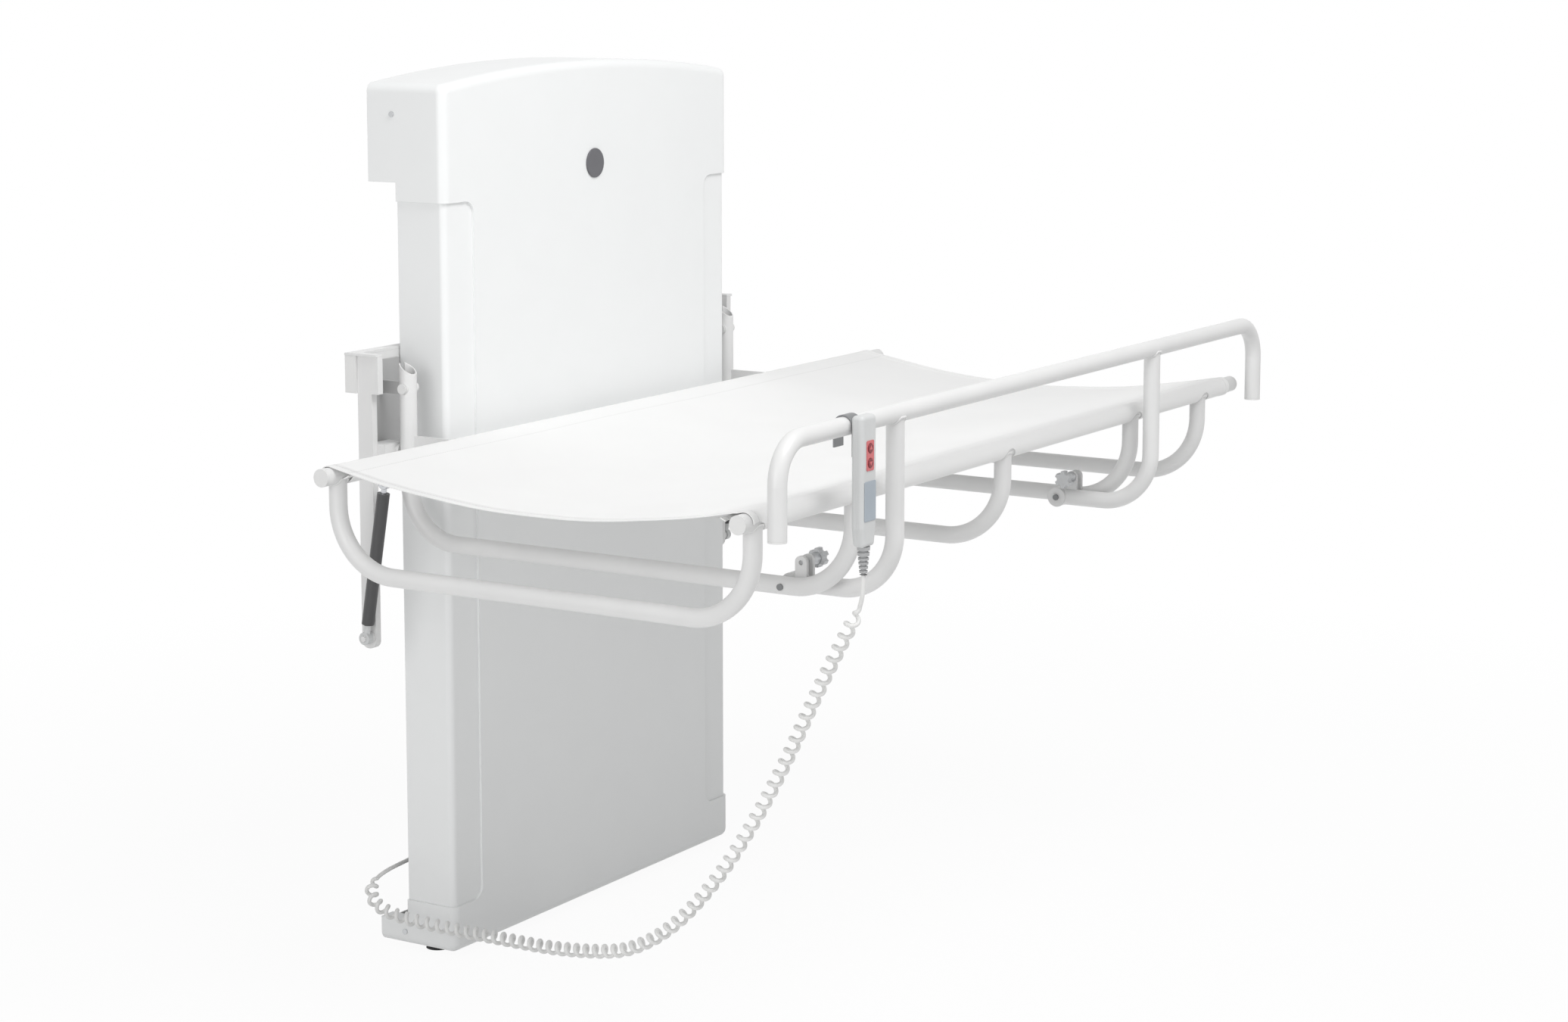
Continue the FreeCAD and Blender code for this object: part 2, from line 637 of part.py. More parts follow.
def hanger(side):
    """Flat upright bar with a round foot, a deeper head beside the beam and the block behind the stop pad."""
    bar = block(side * HANGER_INNER_X, side * HANGER_OUTER_X, BEAM_FRONT, BEAM_FRONT - HANGER_DEPTH,
                HANGER_BOTTOM, BEAM_TOP)
    low_edges = [edge for edge in bar.Edges
                 if edge.BoundBox.XLength > 1 and edge.BoundBox.ZMax < HANGER_BOTTOM + 1]
    bar = bar.makeFillet(0.45 * HANGER_DEPTH, low_edges)
    head = block(side * HANGER_INNER_X, side * HANGER_OUTER_X, BEAM_FRONT, BEAM_FRONT - HANGER_HEAD_DEPTH,
                 BEAM_BOTTOM, BEAM_TOP)
    stop = block(side * HANGER_INNER_X, side * (ARM_X - STOP_PAD_DIAMETER / 2), stop_back(),
                 stop_back() - STOP_BLOCK_DEPTH, STOP_HEIGHT - STOP_BLOCK_HEIGHT / 2,
                 STOP_HEIGHT + STOP_BLOCK_HEIGHT / 2)
    return joined([bar, head, stop])


def stop_back():
    """Wall side of the stop block, behind the arm that rests on its pad."""
    return HINGE_Y + TUBE_RADIUS + REST_CLEARANCE + STOP_PAD_THICKNESS + STOP_BLOCK_DEPTH


def stop_pad(side):
    start = Vector(side * ARM_X, stop_back() - STOP_BLOCK_DEPTH, STOP_HEIGHT)
    return round_bar(start, Vector(0, -1, 0), STOP_PAD_DIAMETER, STOP_PAD_THICKNESS)


def hinge_bracket(side):
    """Plate on the beam's front with a tongue that reaches into the slot of the arm."""
    inner = side * (ARM_X - TONGUE_THICKNESS / 2)
    outer = side * (ARM_X + TONGUE_THICKNESS / 2)
    plate = block(side * (HALF_WIDTH + BEAM_CASING_CLEARANCE), side * HANGER_INNER_X, BEAM_FRONT,
                  BEAM_FRONT - BRACKET_THICKNESS, HINGE_HEIGHT - BRACKET_BELOW_HINGE,
                  HINGE_HEIGHT + BRACKET_ABOVE_HINGE)
    tongue = block(inner, outer, BEAM_FRONT, HINGE_Y, HINGE_HEIGHT - TONGUE_RADIUS,
                   HINGE_HEIGHT + TONGUE_RADIUS)
    eye = across(inner, outer, HINGE_Y, HINGE_HEIGHT, 2 * TONGUE_RADIUS)
    whole = joined([plate, tongue, eye])
    return whole.cut(across(inner, outer, HINGE_Y, HINGE_HEIGHT, HINGE_PIN_DIAMETER))


def hinge_pin(side):
    reach = TUBE_RADIUS + SLEEVE_PROUD + REST_CLEARANCE
    shapes = [across(side * (ARM_X - reach), side * (ARM_X + reach), HINGE_Y, HINGE_HEIGHT,
                     HINGE_PIN_DIAMETER)]
    for x, step in ((ARM_X - reach, -HINGE_HEAD_THICKNESS), (ARM_X + reach, HINGE_HEAD_THICKNESS)):
        shapes.append(across(side * x, side * (x + step), HINGE_Y, HINGE_HEIGHT, HINGE_HEAD_DIAMETER))
    return joined(shapes)


def spring_foot_pin(side):
    start = side * HANGER_OUTER_X
    end = side * (SPRING_X + SPRING_EYE_WIDTH / 2 + SPRING_SIDE_GAP)
    pin = across(start, end, SPRING_FOOT.y, SPRING_FOOT.z, SPRING_PIN_DIAMETER)
    collar_end = side * (SPRING_X - SPRING_EYE_WIDTH / 2 - REST_CLEARANCE)
    collar = across(start, collar_end, SPRING_FOOT.y, SPRING_FOOT.z, SPRING_COLLAR_DIAMETER)
    return joined([pin, collar])


# Stretcher

def long_tube(y):
    return ring(Vector(FRAME_LEFT, y, FRAME_HEIGHT), ALONG_X).extrude(Vector(FRAME_RIGHT - FRAME_LEFT, 0, 0))


def saddle(y, z):
    """Room for a long tube, with the weld's gap, that shapes the ends of the tubes that meet it."""
    return across(FRAME_LEFT, FRAME_RIGHT, y, z, TUBE_DIAMETER + 2 * WELD_GAP)


def tube_end_plugs():
    shapes = []
    for y in (REAR_Y, FRONT_Y):
        for end, outward in ((FRAME_LEFT, -1), (FRAME_RIGHT, 1)):
            flange = across(end, end + outward * PLUG_FLANGE, y, FRAME_HEIGHT, TUBE_DIAMETER)
            spigot = across(end, end - outward * PLUG_SPIGOT, y, FRAME_HEIGHT, TUBE_DIAMETER - 2 * TUBE_WALL)
            shapes.append(joined([flange, spigot]))
    return Part.makeCompound(shapes)


def cross_tube(x):
    points = [Vector(x, REAR_Y, SADDLE_Z), Vector(x, REAR_Y, CROSS_Z),
              Vector(x, FRONT_Y, CROSS_Z), Vector(x, FRONT_Y, SADDLE_Z)]
    tube = bent_tube(points, [CROSS_TUBE_BEND, CROSS_TUBE_BEND])
    return tube.cut(saddle(REAR_Y, FRAME_HEIGHT)).cut(saddle(FRONT_Y, FRAME_HEIGHT))


def left_arm():
    x = -ARM_X
    points = [Vector(x, HINGE_Y, ARM_TOP), Vector(x, HINGE_Y, ARM_Z),
              Vector(x, FRONT_Y, ARM_Z), Vector(x, FRONT_Y, SADDLE_Z)]
    tube = bent_tube(points, [ARM_REAR_BEND, ARM_FRONT_BEND]).cut(saddle(FRONT_Y, FRAME_HEIGHT))
    sleeve = cross_sleeve(x, HINGE_Y, HINGE_HEIGHT, HINGE_SLEEVE_DIAMETER)
    lug = latch_plate(-LATCH_LUG_FACE - LATCH_PLATE_THICKNESS / 2, ARM_Z)
    tie = block(x - TIE_THICKNESS / 2, x + TIE_THICKNESS / 2, HINGE_Y - TUBE_RADIUS + TUBE_WALL / 2, REAR_Y,
                FRAME_HEIGHT - TIE_HEIGHT / 2, FRAME_HEIGHT + TIE_HEIGHT / 2)
    tie = largest(tie.cut(saddle(REAR_Y, FRAME_HEIGHT)))
    whole = joined([tube, sleeve, lug, tie])
    whole = whole.cut(mouth_cut(x)).cut(tongue_slot(x))
    whole = whole.cut(across(0, 2 * x, HINGE_Y, HINGE_HEIGHT, HINGE_PIN_DIAMETER + 2 * RUNNING_CLEARANCE))
    whole = whole.cut(across(0, 2 * x, PIVOT_Y, ARM_Z, PIVOT_BOLT_DIAMETER))
    return whole.cut(across(0, 2 * x, HINGE_Y, SPRING_HEAD.z, SPRING_PIN_DIAMETER))


def cross_sleeve(x, y, z, diameter):
    """Sleeve across a tube for a pin, a little wider than the tube."""
    reach = TUBE_RADIUS + SLEEVE_PROUD
    return across(x - reach, x + reach, y, z, diameter)


def largest(shape):
    return max(shape.Solids, key=lambda solid: solid.Volume)


def mouth_cut(x):
    """Slanted cut that opens the top of an arm towards the room."""
    wedge = block(x - TUBE_DIAMETER, x + TUBE_DIAMETER, -TUBE_DIAMETER, TUBE_DIAMETER, 0, TUBE_DIAMETER)
    wedge.rotate(Vector(0, 0, 0), ALONG_X, 35)
    wedge.translate(Vector(0, HINGE_Y, ARM_TOP - TUBE_RADIUS * 0.7))
    return wedge


def tongue_slot(x):
    """Room for the hinge's tongue, open to the wall and at the top so that the arm can turn on it."""
    half = TONGUE_THICKNESS / 2 + TONGUE_CLEARANCE
    reach = TONGUE_RADIUS + TONGUE_CLEARANCE
    return block(x - half, x + half, HINGE_Y - reach, HINGE_Y + TUBE_DIAMETER, HINGE_HEIGHT - reach, ARM_TOP)


def latch_plate(x, bottom):
    """Plate that stands on a tube's lower run and takes the latch pin."""
    half = LATCH_PLATE_WIDTH / 2
    plate = block(x - LATCH_PLATE_THICKNESS / 2, x + LATCH_PLATE_THICKNESS / 2,
                  LATCH_Y - half, LATCH_Y + half, bottom, LATCH_Z + LATCH_PLATE_ABOVE)
    corners = [edge for edge in plate.Edges if edge.BoundBox.XLength > 1 and edge.BoundBox.ZMin > LATCH_Z]
    plate = plate.makeFillet(0.48 * LATCH_PLATE_WIDTH, corners)
    pin_hole = across(x - LATCH_PLATE_THICKNESS, x + LATCH_PLATE_THICKNESS, LATCH_Y, LATCH_Z,
                      LATCH_PIN_DIAMETER + 2 * RUNNING_CLEARANCE)
    return plate.cut(pin_hole)


def spring_stud(side):
    inner = side * (ARM_X - TUBE_RADIUS)
    outer = side * (SPRING_X - SPRING_EYE_WIDTH / 2 - REST_CLEARANCE)
    shank = across(inner, outer, HINGE_Y, SPRING_HEAD.z, SPRING_PIN_DIAMETER)
    collar = across(side * (ARM_X + TUBE_RADIUS), outer, HINGE_Y, SPRING_HEAD.z, SPRING_COLLAR_DIAMETER)
    return joined([shank, collar])


def pivot_bolts():
    shapes = []
    for side in SIDES.values():
        outer = ARM_X + TUBE_RADIUS
        inner = POST_X - TUBE_RADIUS - POST_SIDE_GAP
        shank = across(side * inner, side * outer, PIVOT_Y, ARM_Z, PIVOT_BOLT_DIAMETER)
        head = across(side * outer, side * (outer + BOLT_HEAD_THICKNESS), PIVOT_Y, ARM_Z, BOLT_HEAD_DIAMETER)
        nut = across(side * inner, side * (inner - BOLT_HEAD_THICKNESS), PIVOT_Y, ARM_Z, BOLT_HEAD_DIAMETER)
        shapes.append(joined([shank, head, nut]))
    return Part.makeCompound(shapes)


def sheet_sleeve(y):
    diameter = TUBE_DIAMETER + 2 * (SHEET_CLEARANCE + SHEET_THICKNESS)
    return across(SHEET_LEFT, SHEET_RIGHT, y, FRAME_HEIGHT, diameter)


def lying_sheet():
    """Sagging sheet with a sleeve round each long tube, cut away where the cross tubes meet them."""
    top = FRAME_HEIGHT + TUBE_RADIUS + SHEET_CLEARANCE + SHEET_THICKNESS
    bottom = top - SHEET_THICKNESS
    middle = (REAR_Y + FRONT_Y) / 2
    upper = Part.Arc(Vector(SHEET_LEFT, REAR_Y, top), Vector(SHEET_LEFT, middle, top - SHEET_SAG),
                     Vector(SHEET_LEFT, FRONT_Y, top)).toShape()
    lower = Part.Arc(Vector(SHEET_LEFT, FRONT_Y, bottom), Vector(SHEET_LEFT, middle, bottom - SHEET_SAG),
                     Vector(SHEET_LEFT, REAR_Y, bottom)).toShape()
    ends = [Part.LineSegment(Vector(SHEET_LEFT, FRONT_Y, top), Vector(SHEET_LEFT, FRONT_Y, bottom)).toShape(),
            Part.LineSegment(Vector(SHEET_LEFT, REAR_Y, bottom), Vector(SHEET_LEFT, REAR_Y, top)).toShape()]
    section = Part.Face(Part.Wire([upper, ends[0], lower, ends[1]]))
    web = section.extrude(Vector(SHEET_RIGHT - SHEET_LEFT, 0, 0))
    whole = joined([web, sheet_sleeve(REAR_Y), sheet_sleeve(FRONT_Y)])
    for y in (REAR_Y, FRONT_Y):
        whole = whole.cut(across(SHEET_LEFT, SHEET_RIGHT, y, FRAME_HEIGHT,
                                 TUBE_DIAMETER + 2 * SHEET_CLEARANCE))
        for x in (-END_TUBE_X, -ARM_X, 0, ARM_X, END_TUBE_X):
            half = SHEET_NOTCH / 2
            left = SHEET_LEFT if x < -ARM_X else x - half
            whole = whole.cut(block(left, x + half, y - half, y + half, FRAME_HEIGHT - half, FRAME_HEIGHT))
    for side in SIDES.values():
        half = SHEET_NOTCH / 2
        whole = whole.cut(block(side * ARM_X - half, side * ARM_X + half, REAR_Y, REAR_Y + SHEET_NOTCH,
                                FRAME_HEIGHT - half, FRAME_HEIGHT + TIE_HEIGHT / 2 + SHEET_THICKNESS))
    return whole


# Gas springs, drawn upright from the foot pin and then leaned onto the head stud

def leaned(shape, side):
    axis = SPRING_HEAD - SPRING_FOOT
    angle = math.degrees(math.atan2(-axis.y, axis.z))
    shape.rotate(Vector(0, 0, 0), ALONG_X, angle)
    shape.translate(Vector(side * SPRING_X, SPRING_FOOT.y, SPRING_FOOT.z))
    return shape


def spring_eye(z, bore):
    half = SPRING_EYE_WIDTH / 2
    return across(-half, half, 0, z, SPRING_EYE_DIAMETER).cut(across(-half, half, 0, z, bore))


def spring_barrel(side):
    foot = Vector(0, 0, SPRING_FOOT_LENGTH)
    barrel = round_bar(foot, ALONG_Z, SPRING_BARREL_DIAMETER, SPRING_BARREL_LENGTH)
    floor = Vector(0, 0, SPRING_FOOT_LENGTH + SPRING_GLAND / 2)
    bore_length = SPRING_BARREL_LENGTH - 1.5 * SPRING_GLAND
    barrel = barrel.cut(round_bar(floor, ALONG_Z, SPRING_BARREL_BORE, bore_length))
    rod_hole = SPRING_ROD_DIAMETER + 2 * RUNNING_CLEARANCE
    barrel = barrel.cut(round_bar(floor, ALONG_Z, rod_hole, SPRING_BARREL_LENGTH))
    neck = round_bar(Vector(0, 0, 0), ALONG_Z, SPRING_EYE_WIDTH, SPRING_FOOT_LENGTH)
    bore = SPRING_PIN_DIAMETER + 2 * RUNNING_CLEARANCE
    neck = neck.cut(across(-SPRING_EYE_WIDTH, SPRING_EYE_WIDTH, 0, 0, bore))
    return leaned(joined([barrel, neck, spring_eye(0, bore)]), side)


def spring_rod(side):
    length = (SPRING_HEAD - SPRING_FOOT).Length
    low = SPRING_FOOT_LENGTH + SPRING_GLAND
    rod = round_bar(Vector(0, 0, low), ALONG_Z, SPRING_ROD_DIAMETER, length - low)
    piston = round_bar(Vector(0, 0, low), ALONG_Z, SPRING_BARREL_BORE - 2 * RUNNING_CLEARANCE, SPRING_PISTON)
    rod = rod.cut(across(-SPRING_EYE_WIDTH, SPRING_EYE_WIDTH, 0, length, SPRING_PIN_DIAMETER))
    return leaned(joined([rod, piston, spring_eye(length, SPRING_PIN_DIAMETER)]), side)


# Side rail and latches

def rail_points():
    left = FRAME_LEFT + RAIL_END_INSET
    right = FRAME_RIGHT - RAIL_END_INSET
    low = RAIL_HEIGHT - RAIL_END_DROP
    return [Vector(left, RAIL_Y, low), Vector(left, RAIL_Y, RAIL_HEIGHT),
            Vector(right, RAIL_Y, RAIL_HEIGHT), Vector(right, RAIL_Y, low)]


def rail_bar():
    return bent_tube(rail_points(), [RAIL_END_BEND, RAIL_END_BEND])


def rail_end_plugs():
    shapes = []
    for end in (rail_points()[0], rail_points()[-1]):
        flange = round_bar(end, Vector(0, 0, -1), TUBE_DIAMETER, PLUG_FLANGE)
        spigot = round_bar(end, ALONG_Z, TUBE_DIAMETER - 2 * TUBE_WALL, PLUG_SPIGOT)
        shapes.append(joined([flange, spigot]))
    return Part.makeCompound(shapes)


def left_rail_post():
    x = -POST_X
    points = [Vector(x, PIVOT_Y, ARM_Z), Vector(x, RAIL_Y, ARM_Z),
              Vector(x, RAIL_Y, RAIL_HEIGHT - SADDLE_SETBACK)]
    tube = bent_tube(points, [POST_BEND])
    eye = cross_sleeve(x, PIVOT_Y, ARM_Z, PIVOT_EYE_DIAMETER)
    plate = latch_plate(x, ARM_Z + TUBE_RADIUS - TUBE_WALL)
    whole = joined([tube.cut(saddle(RAIL_Y, RAIL_HEIGHT)), eye, plate])
    return whole.cut(across(0, 2 * x, PIVOT_Y, ARM_Z, PIVOT_BOLT_DIAMETER + 2 * RUNNING_CLEARANCE))


def latch_start():
    """Face of the post's latch plate that the housing stands on, as a distance from the middle."""
    return POST_X - LATCH_PLATE_THICKNESS / 2


def latch_housing(side):
    face = latch_start()
    end = face - LATCH_HOUSING_LENGTH
    body = across(side * face, side * end, LATCH_Y, LATCH_Z, LATCH_HOUSING_DIAMETER)
    hole = LATCH_PIN_DIAMETER + 2 * RUNNING_CLEARANCE
    return body.cut(across(side * face, side * end, LATCH_Y, LATCH_Z, hole))


def latch_knob(side):
    tip = LATCH_LUG_FACE - REST_CLEARANCE
    face = latch_start() - LATCH_HOUSING_LENGTH - REST_CLEARANCE
    pin = across(side * tip, side * face, LATCH_Y, LATCH_Z, LATCH_PIN_DIAMETER)
    knob = across(side * face, side * (face - KNOB_THICKNESS), LATCH_Y, LATCH_Z, KNOB_DIAMETER)
    for lobe in range(KNOB_LOBES):
        angle = 2 * math.pi * lobe / KNOB_LOBES
        y = LATCH_Y + KNOB_DIAMETER / 2 * math.cos(angle)
        z = LATCH_Z + KNOB_DIAMETER / 2 * math.sin(angle)
        knob = knob.cut(across(side * face, side * (face - KNOB_THICKNESS), y, z, KNOB_GROOVE_DIAMETER))
    return joined([pin, knob])


# Handset

def handset_body(inset):
    """Rounded body that narrows at its lower end, drawn in by inset all round."""
    half = HANDSET_WIDTH / 2 - inset
    low = HANDSET_BOTTOM + inset
    high = HANDSET_TOP - inset
    shoulder = HANDSET_BOTTOM + HANDSET_TAPER_HEIGHT
    waist = half - HANDSET_TAPER
    outline = [(-waist, low), (waist, low), (half, shoulder),
               (half, high), (-half, high), (-half, shoulder)]
    corners = [Vector(HANDSET_X + x, HANDSET_FRONT + inset, z) for x, z in outline]
    face = Part.Face(Part.makePolygon(corners + corners[:1]))
    solid = face.extrude(Vector(0, HANDSET_DEPTH - 2 * inset, 0))
    return solid.makeFillet(HANDSET_ROUNDING - inset, solid.Edges)


def button_places():
    return {"up": HANDSET_TOP - UP_BUTTON_FROM_TOP, "down": HANDSET_TOP - DOWN_BUTTON_FROM_TOP}


def handset_half(front):
    shell = handset_body(0).cut(handset_body(HANDSET_SKIN))
    away = block(HANDSET_X - HANDSET_WIDTH, HANDSET_X + HANDSET_WIDTH, HANDSET_MIDDLE,
                 HANDSET_BACK + 1 if front else HANDSET_FRONT - 1, HANDSET_BOTTOM - 1, HANDSET_TOP + 1)
    half = shell.cut(away)
    half = half.cut(round_bar(Vector(HANDSET_X, HANDSET_MIDDLE, HANDSET_BOTTOM - 1), ALONG_Z, CORD_DIAMETER,
                              2 * HANDSET_SKIN))
    if front:
        for z in button_places().values():
            half = half.cut(button_bore(z))
    return half


def button_bore(z):
    start = Vector(HANDSET_X, HANDSET_FRONT - 1, z)
    return round_bar(start, ALONG_Y, BUTTON_DIAMETER + 2 * BUTTON_CLEARANCE, HANDSET_SKIN + 2)


def button(z):
    proud = BUTTON_HEIGHT - HANDSET_SKIN
    cap = round_bar(Vector(HANDSET_X, HANDSET_FRONT - proud, z), ALONG_Y, BUTTON_DIAMETER, BUTTON_HEIGHT)
    rim = [edge for edge in cap.Edges if edge.CenterOfMass.y < HANDSET_FRONT - proud + 0.01]
    cap = cap.makeFillet(proud / 2, rim)
    board_front = HANDSET_MIDDLE - BOARD_THICKNESS / 2
    stem_length = board_front - BUTTON_TRAVEL - BUTTON_CLEARANCE - (HANDSET_FRONT + HANDSET_SKIN)
    stem_start = Vector(HANDSET_X, HANDSET_FRONT + HANDSET_SKIN, z)
    stem = round_bar(stem_start, ALONG_Y, BUTTON_STEM_DIAMETER, stem_length)
    return joined([cap, stem])


def handset_label(low, high, width, with_buttons):
    half = width / 2
    plate = block(HANDSET_X - half, HANDSET_X + half, HANDSET_FRONT - LABEL_THICKNESS, HANDSET_FRONT,
                  low, high)
    upright = [edge for edge in plate.Edges if edge.BoundBox.YLength > LABEL_THICKNESS / 2]
    plate = plate.makeFillet(LABEL_ROUNDING, upright)
    if with_buttons:
        for z in button_places().values():
            plate = plate.cut(button_bore(z))
    return plate


def handset_window():
    places = button_places()
    reach = BUTTON_DIAMETER / 2 + LABEL_MARGIN
    return handset_label(places["down"] - reach, places["up"] + reach, WINDOW_WIDTH, True)


def handset_pad():
    low = HANDSET_BOTTOM + PAD_FROM_BOTTOM
    return handset_label(low, low + PAD_HEIGHT, PAD_WIDTH, False)


def handset_board():
    inside = handset_body(HANDSET_SKIN)
    slab = block(HANDSET_X - HANDSET_WIDTH, HANDSET_X + HANDSET_WIDTH, HANDSET_MIDDLE - BOARD_THICKNESS / 2,
                 HANDSET_MIDDLE + BOARD_THICKNESS / 2, HANDSET_BOTTOM + PAD_FROM_BOTTOM, HANDSET_TOP)
    return inside.common(slab)


def handset_hook():
    """Strap over the rail, with a long leg on the handset's back and a short one behind the rail."""
    inner = TUBE_RADIUS + HOOK_CLEARANCE
    outer = inner + HOOK_THICKNESS
    x0 = HANDSET_X - HOOK_WIDTH / 2
    x1 = HANDSET_X + HOOK_WIDTH / 2
    bow = across(x0, x1, RAIL_Y, RAIL_HEIGHT, 2 * outer)
    bow = bow.cut(block(x0, x1, RAIL_Y - outer, RAIL_Y + outer, RAIL_HEIGHT - outer, RAIL_HEIGHT))
    front_leg = block(x0, x1, RAIL_Y - outer, RAIL_Y - inner, RAIL_HEIGHT - HOOK_FRONT_LEG, RAIL_HEIGHT)
    back_leg = block(x0, x1, RAIL_Y + inner, RAIL_Y + outer, RAIL_HEIGHT - HOOK_BACK_LEG, RAIL_HEIGHT)
    whole = joined([bow, front_leg, back_leg])
    return whole.cut(across(x0, x1, RAIL_Y, RAIL_HEIGHT, 2 * inner))


def strain_relief():
    top = Vector(HANDSET_X, HANDSET_MIDDLE, HANDSET_BOTTOM)
    return Part.makeCone(RELIEF_TOP_DIAMETER / 2, RELIEF_END_DIAMETER / 2, RELIEF_LENGTH, top, -ALONG_Z)


# Cord

def spline_point(points, place):
    """Place and direction on the smooth curve through the points; place counts points from the first."""
    index = min(max(int(place), 0), len(points) - 2)
    step = place - index
    first = points[max(index - 1, 0)]
    start, end = points[index], points[index + 1]
    last = points[min(index + 2, len(points) - 1)]
    leave = (end - first) * 0.5
    arrive = (last - start) * 0.5
    position = (start * (2 * step ** 3 - 3 * step ** 2 + 1) + leave * (step ** 3 - 2 * step ** 2 + step)
                + end * (3 * step ** 2 - 2 * step ** 3) + arrive * (step ** 3 - step ** 2))
    direction = (start * (6 * step ** 2 - 6 * step) + leave * (3 * step ** 2 - 4 * step + 1)
                 + end * (6 * step - 6 * step ** 2) + arrive * (3 * step ** 2 - 2 * step))
    return position, direction.normalize()


def curl_places(points, count):
    """Values of place that cut the curve into steps, which shorten evenly towards the gland."""
    fine = [i * (len(points) - 1) / 4000 for i in range(4001)]
    lengths = [0.0]
    for low, high in zip(fine, fine[1:]):
        lengths.append(lengths[-1] + (spline_point(points, high)[0] - spline_point(points, low)[0]).Length)
    places = []
    index = 0
    for i in range(count + 1):
        share = i / count
        target = lengths[-1] * share * (CURL_LOOSENESS + (1 - CURL_LOOSENESS) * share)
        while index < len(fine) - 2 and lengths[index + 1] < target:
            index += 1
        places.append(fine[index] + (target - lengths[index]) / (lengths[index + 1] - lengths[index])
                      * (fine[index + 1] - fine[index]))
    return places, lengths[-1]


def curl_point(points, places, turn, steps):
    """Point on the curly cord after a number of turns; the curls grow and die out at the ends."""
    scaled = turn * steps
    index = min(int(scaled), len(places) - 2)
    place = places[index] + (scaled - index) * (places[index + 1] - places[index])
    centre, along = spline_point(points, place)
    side = ALONG_X - along * along.dot(ALONG_X)
    side.normalize()
    other = along.cross(side)
    grown = min(turn, CURL_COUNT - turn, CURL_GROWTH) / CURL_GROWTH
    radius = (CURL_OUTER_DIAMETER - CORD_DIAMETER) / 2 * grown * grown * (3 - 2 * grown)
    angle = 2 * math.pi * turn
    return centre + side * (radius * math.cos(angle)) + other * (radius * math.sin(angle))


def biarc(start, leaving, end, arriving):
    """Two tangent arcs from one point and direction to another."""
    chord = end - start
    total = leaving + arriving
    a = 2 * (1 - leaving.dot(arriving))
    b = 2 * chord.dot(total)
    c = -chord.dot(chord)
    reach = -c / b if a < 1e-6 else (-b + math.sqrt(b * b - 4 * a * c)) / (2 * a)
    middle = (start + end + (leaving - arriving) * reach) * 0.5
    joint_direction = (end - arriving * reach - start - leaving * reach).normalize()
    return [arc_from(start, leaving, middle), arc_from(middle, joint_direction, end)]


def swept(path, start, direction, diameter):
    section = Part.Wire(Part.Circle(start, direction, diameter / 2).toShape())
    return path.makePipeShell([section], True, False)


def curl_stations(points, places, steps):
    """Points a quarter turn apart on the curls, each with its direction."""
    stations = []
    for quarter in range(4 * CURL_COUNT + 1):
        turn = quarter / 4
        before = curl_point(points, places, max(turn - 0.01, 0), steps)
        after = curl_point(points, places, min(turn + 0.01, CURL_COUNT), steps)
        stations.append((curl_point(points, places, turn, steps), (after - before).normalize()))
    return stations


def curly_cord():
    """One tube from the strain relief through all curls to the gland, with short straight ends."""
    points = [Vector(*point) for point in CURL_ROUTE]
    steps = 8
    places, length = curl_places(points, CURL_COUNT * steps)
    down = Vector(0, 0, -1)
    top = Vector(HANDSET_X, HANDSET_MIDDLE, HANDSET_BOTTOM - RELIEF_LENGTH)
    below = top + down * CORD_DIAMETER
    gland = cord_end()
    before_gland = gland - ALONG_X * CORD_DIAMETER
    stations = [(below, down)] + curl_stations(points, places, steps) + [(before_gland, ALONG_X)]
    edges = [Part.LineSegment(top, below).toShape()]
    for (here, leaving), (there, arriving) in zip(stations, stations[1:]):
        edges += biarc(here, leaving, there, arriving)
    edges.append(Part.LineSegment(before_gland, gland).toShape())
    path = Part.Wire(edges)
    cord = swept(path, top, down, CORD_DIAMETER)
    radii = [edge.Curve.Radius for edge in edges if hasattr(edge.Curve, "Radius")]
    print("curly cord: middle line", round(length), "mm, wire", round(path.Length), "mm")
    print("curly cord: least radius", round(min(radii), 2), "mm, at the leads",
          [round(radius) for radius in radii[:2] + radii[-2:]])
    print("curly cord: least gap to itself", round(least_gap(points, places, steps), 2), "mm")
    print("curly cord: volume", round(cord.Volume), "section times length",
          round(math.pi * CORD_DIAMETER ** 2 / 4 * path.Length))
    return cord


def least_gap(points, places, steps):
    samples = [curl_point(points, places, i / 16, steps) for i in range(16 * CURL_COUNT + 1)]
    least = CURL_OUTER_DIAMETER
    for i, one in enumerate(samples):
        for other in samples[i + 10:i + 40]:
            least = min(least, (one - other).Length - CORD_DIAMETER)
    return least


# All pieces

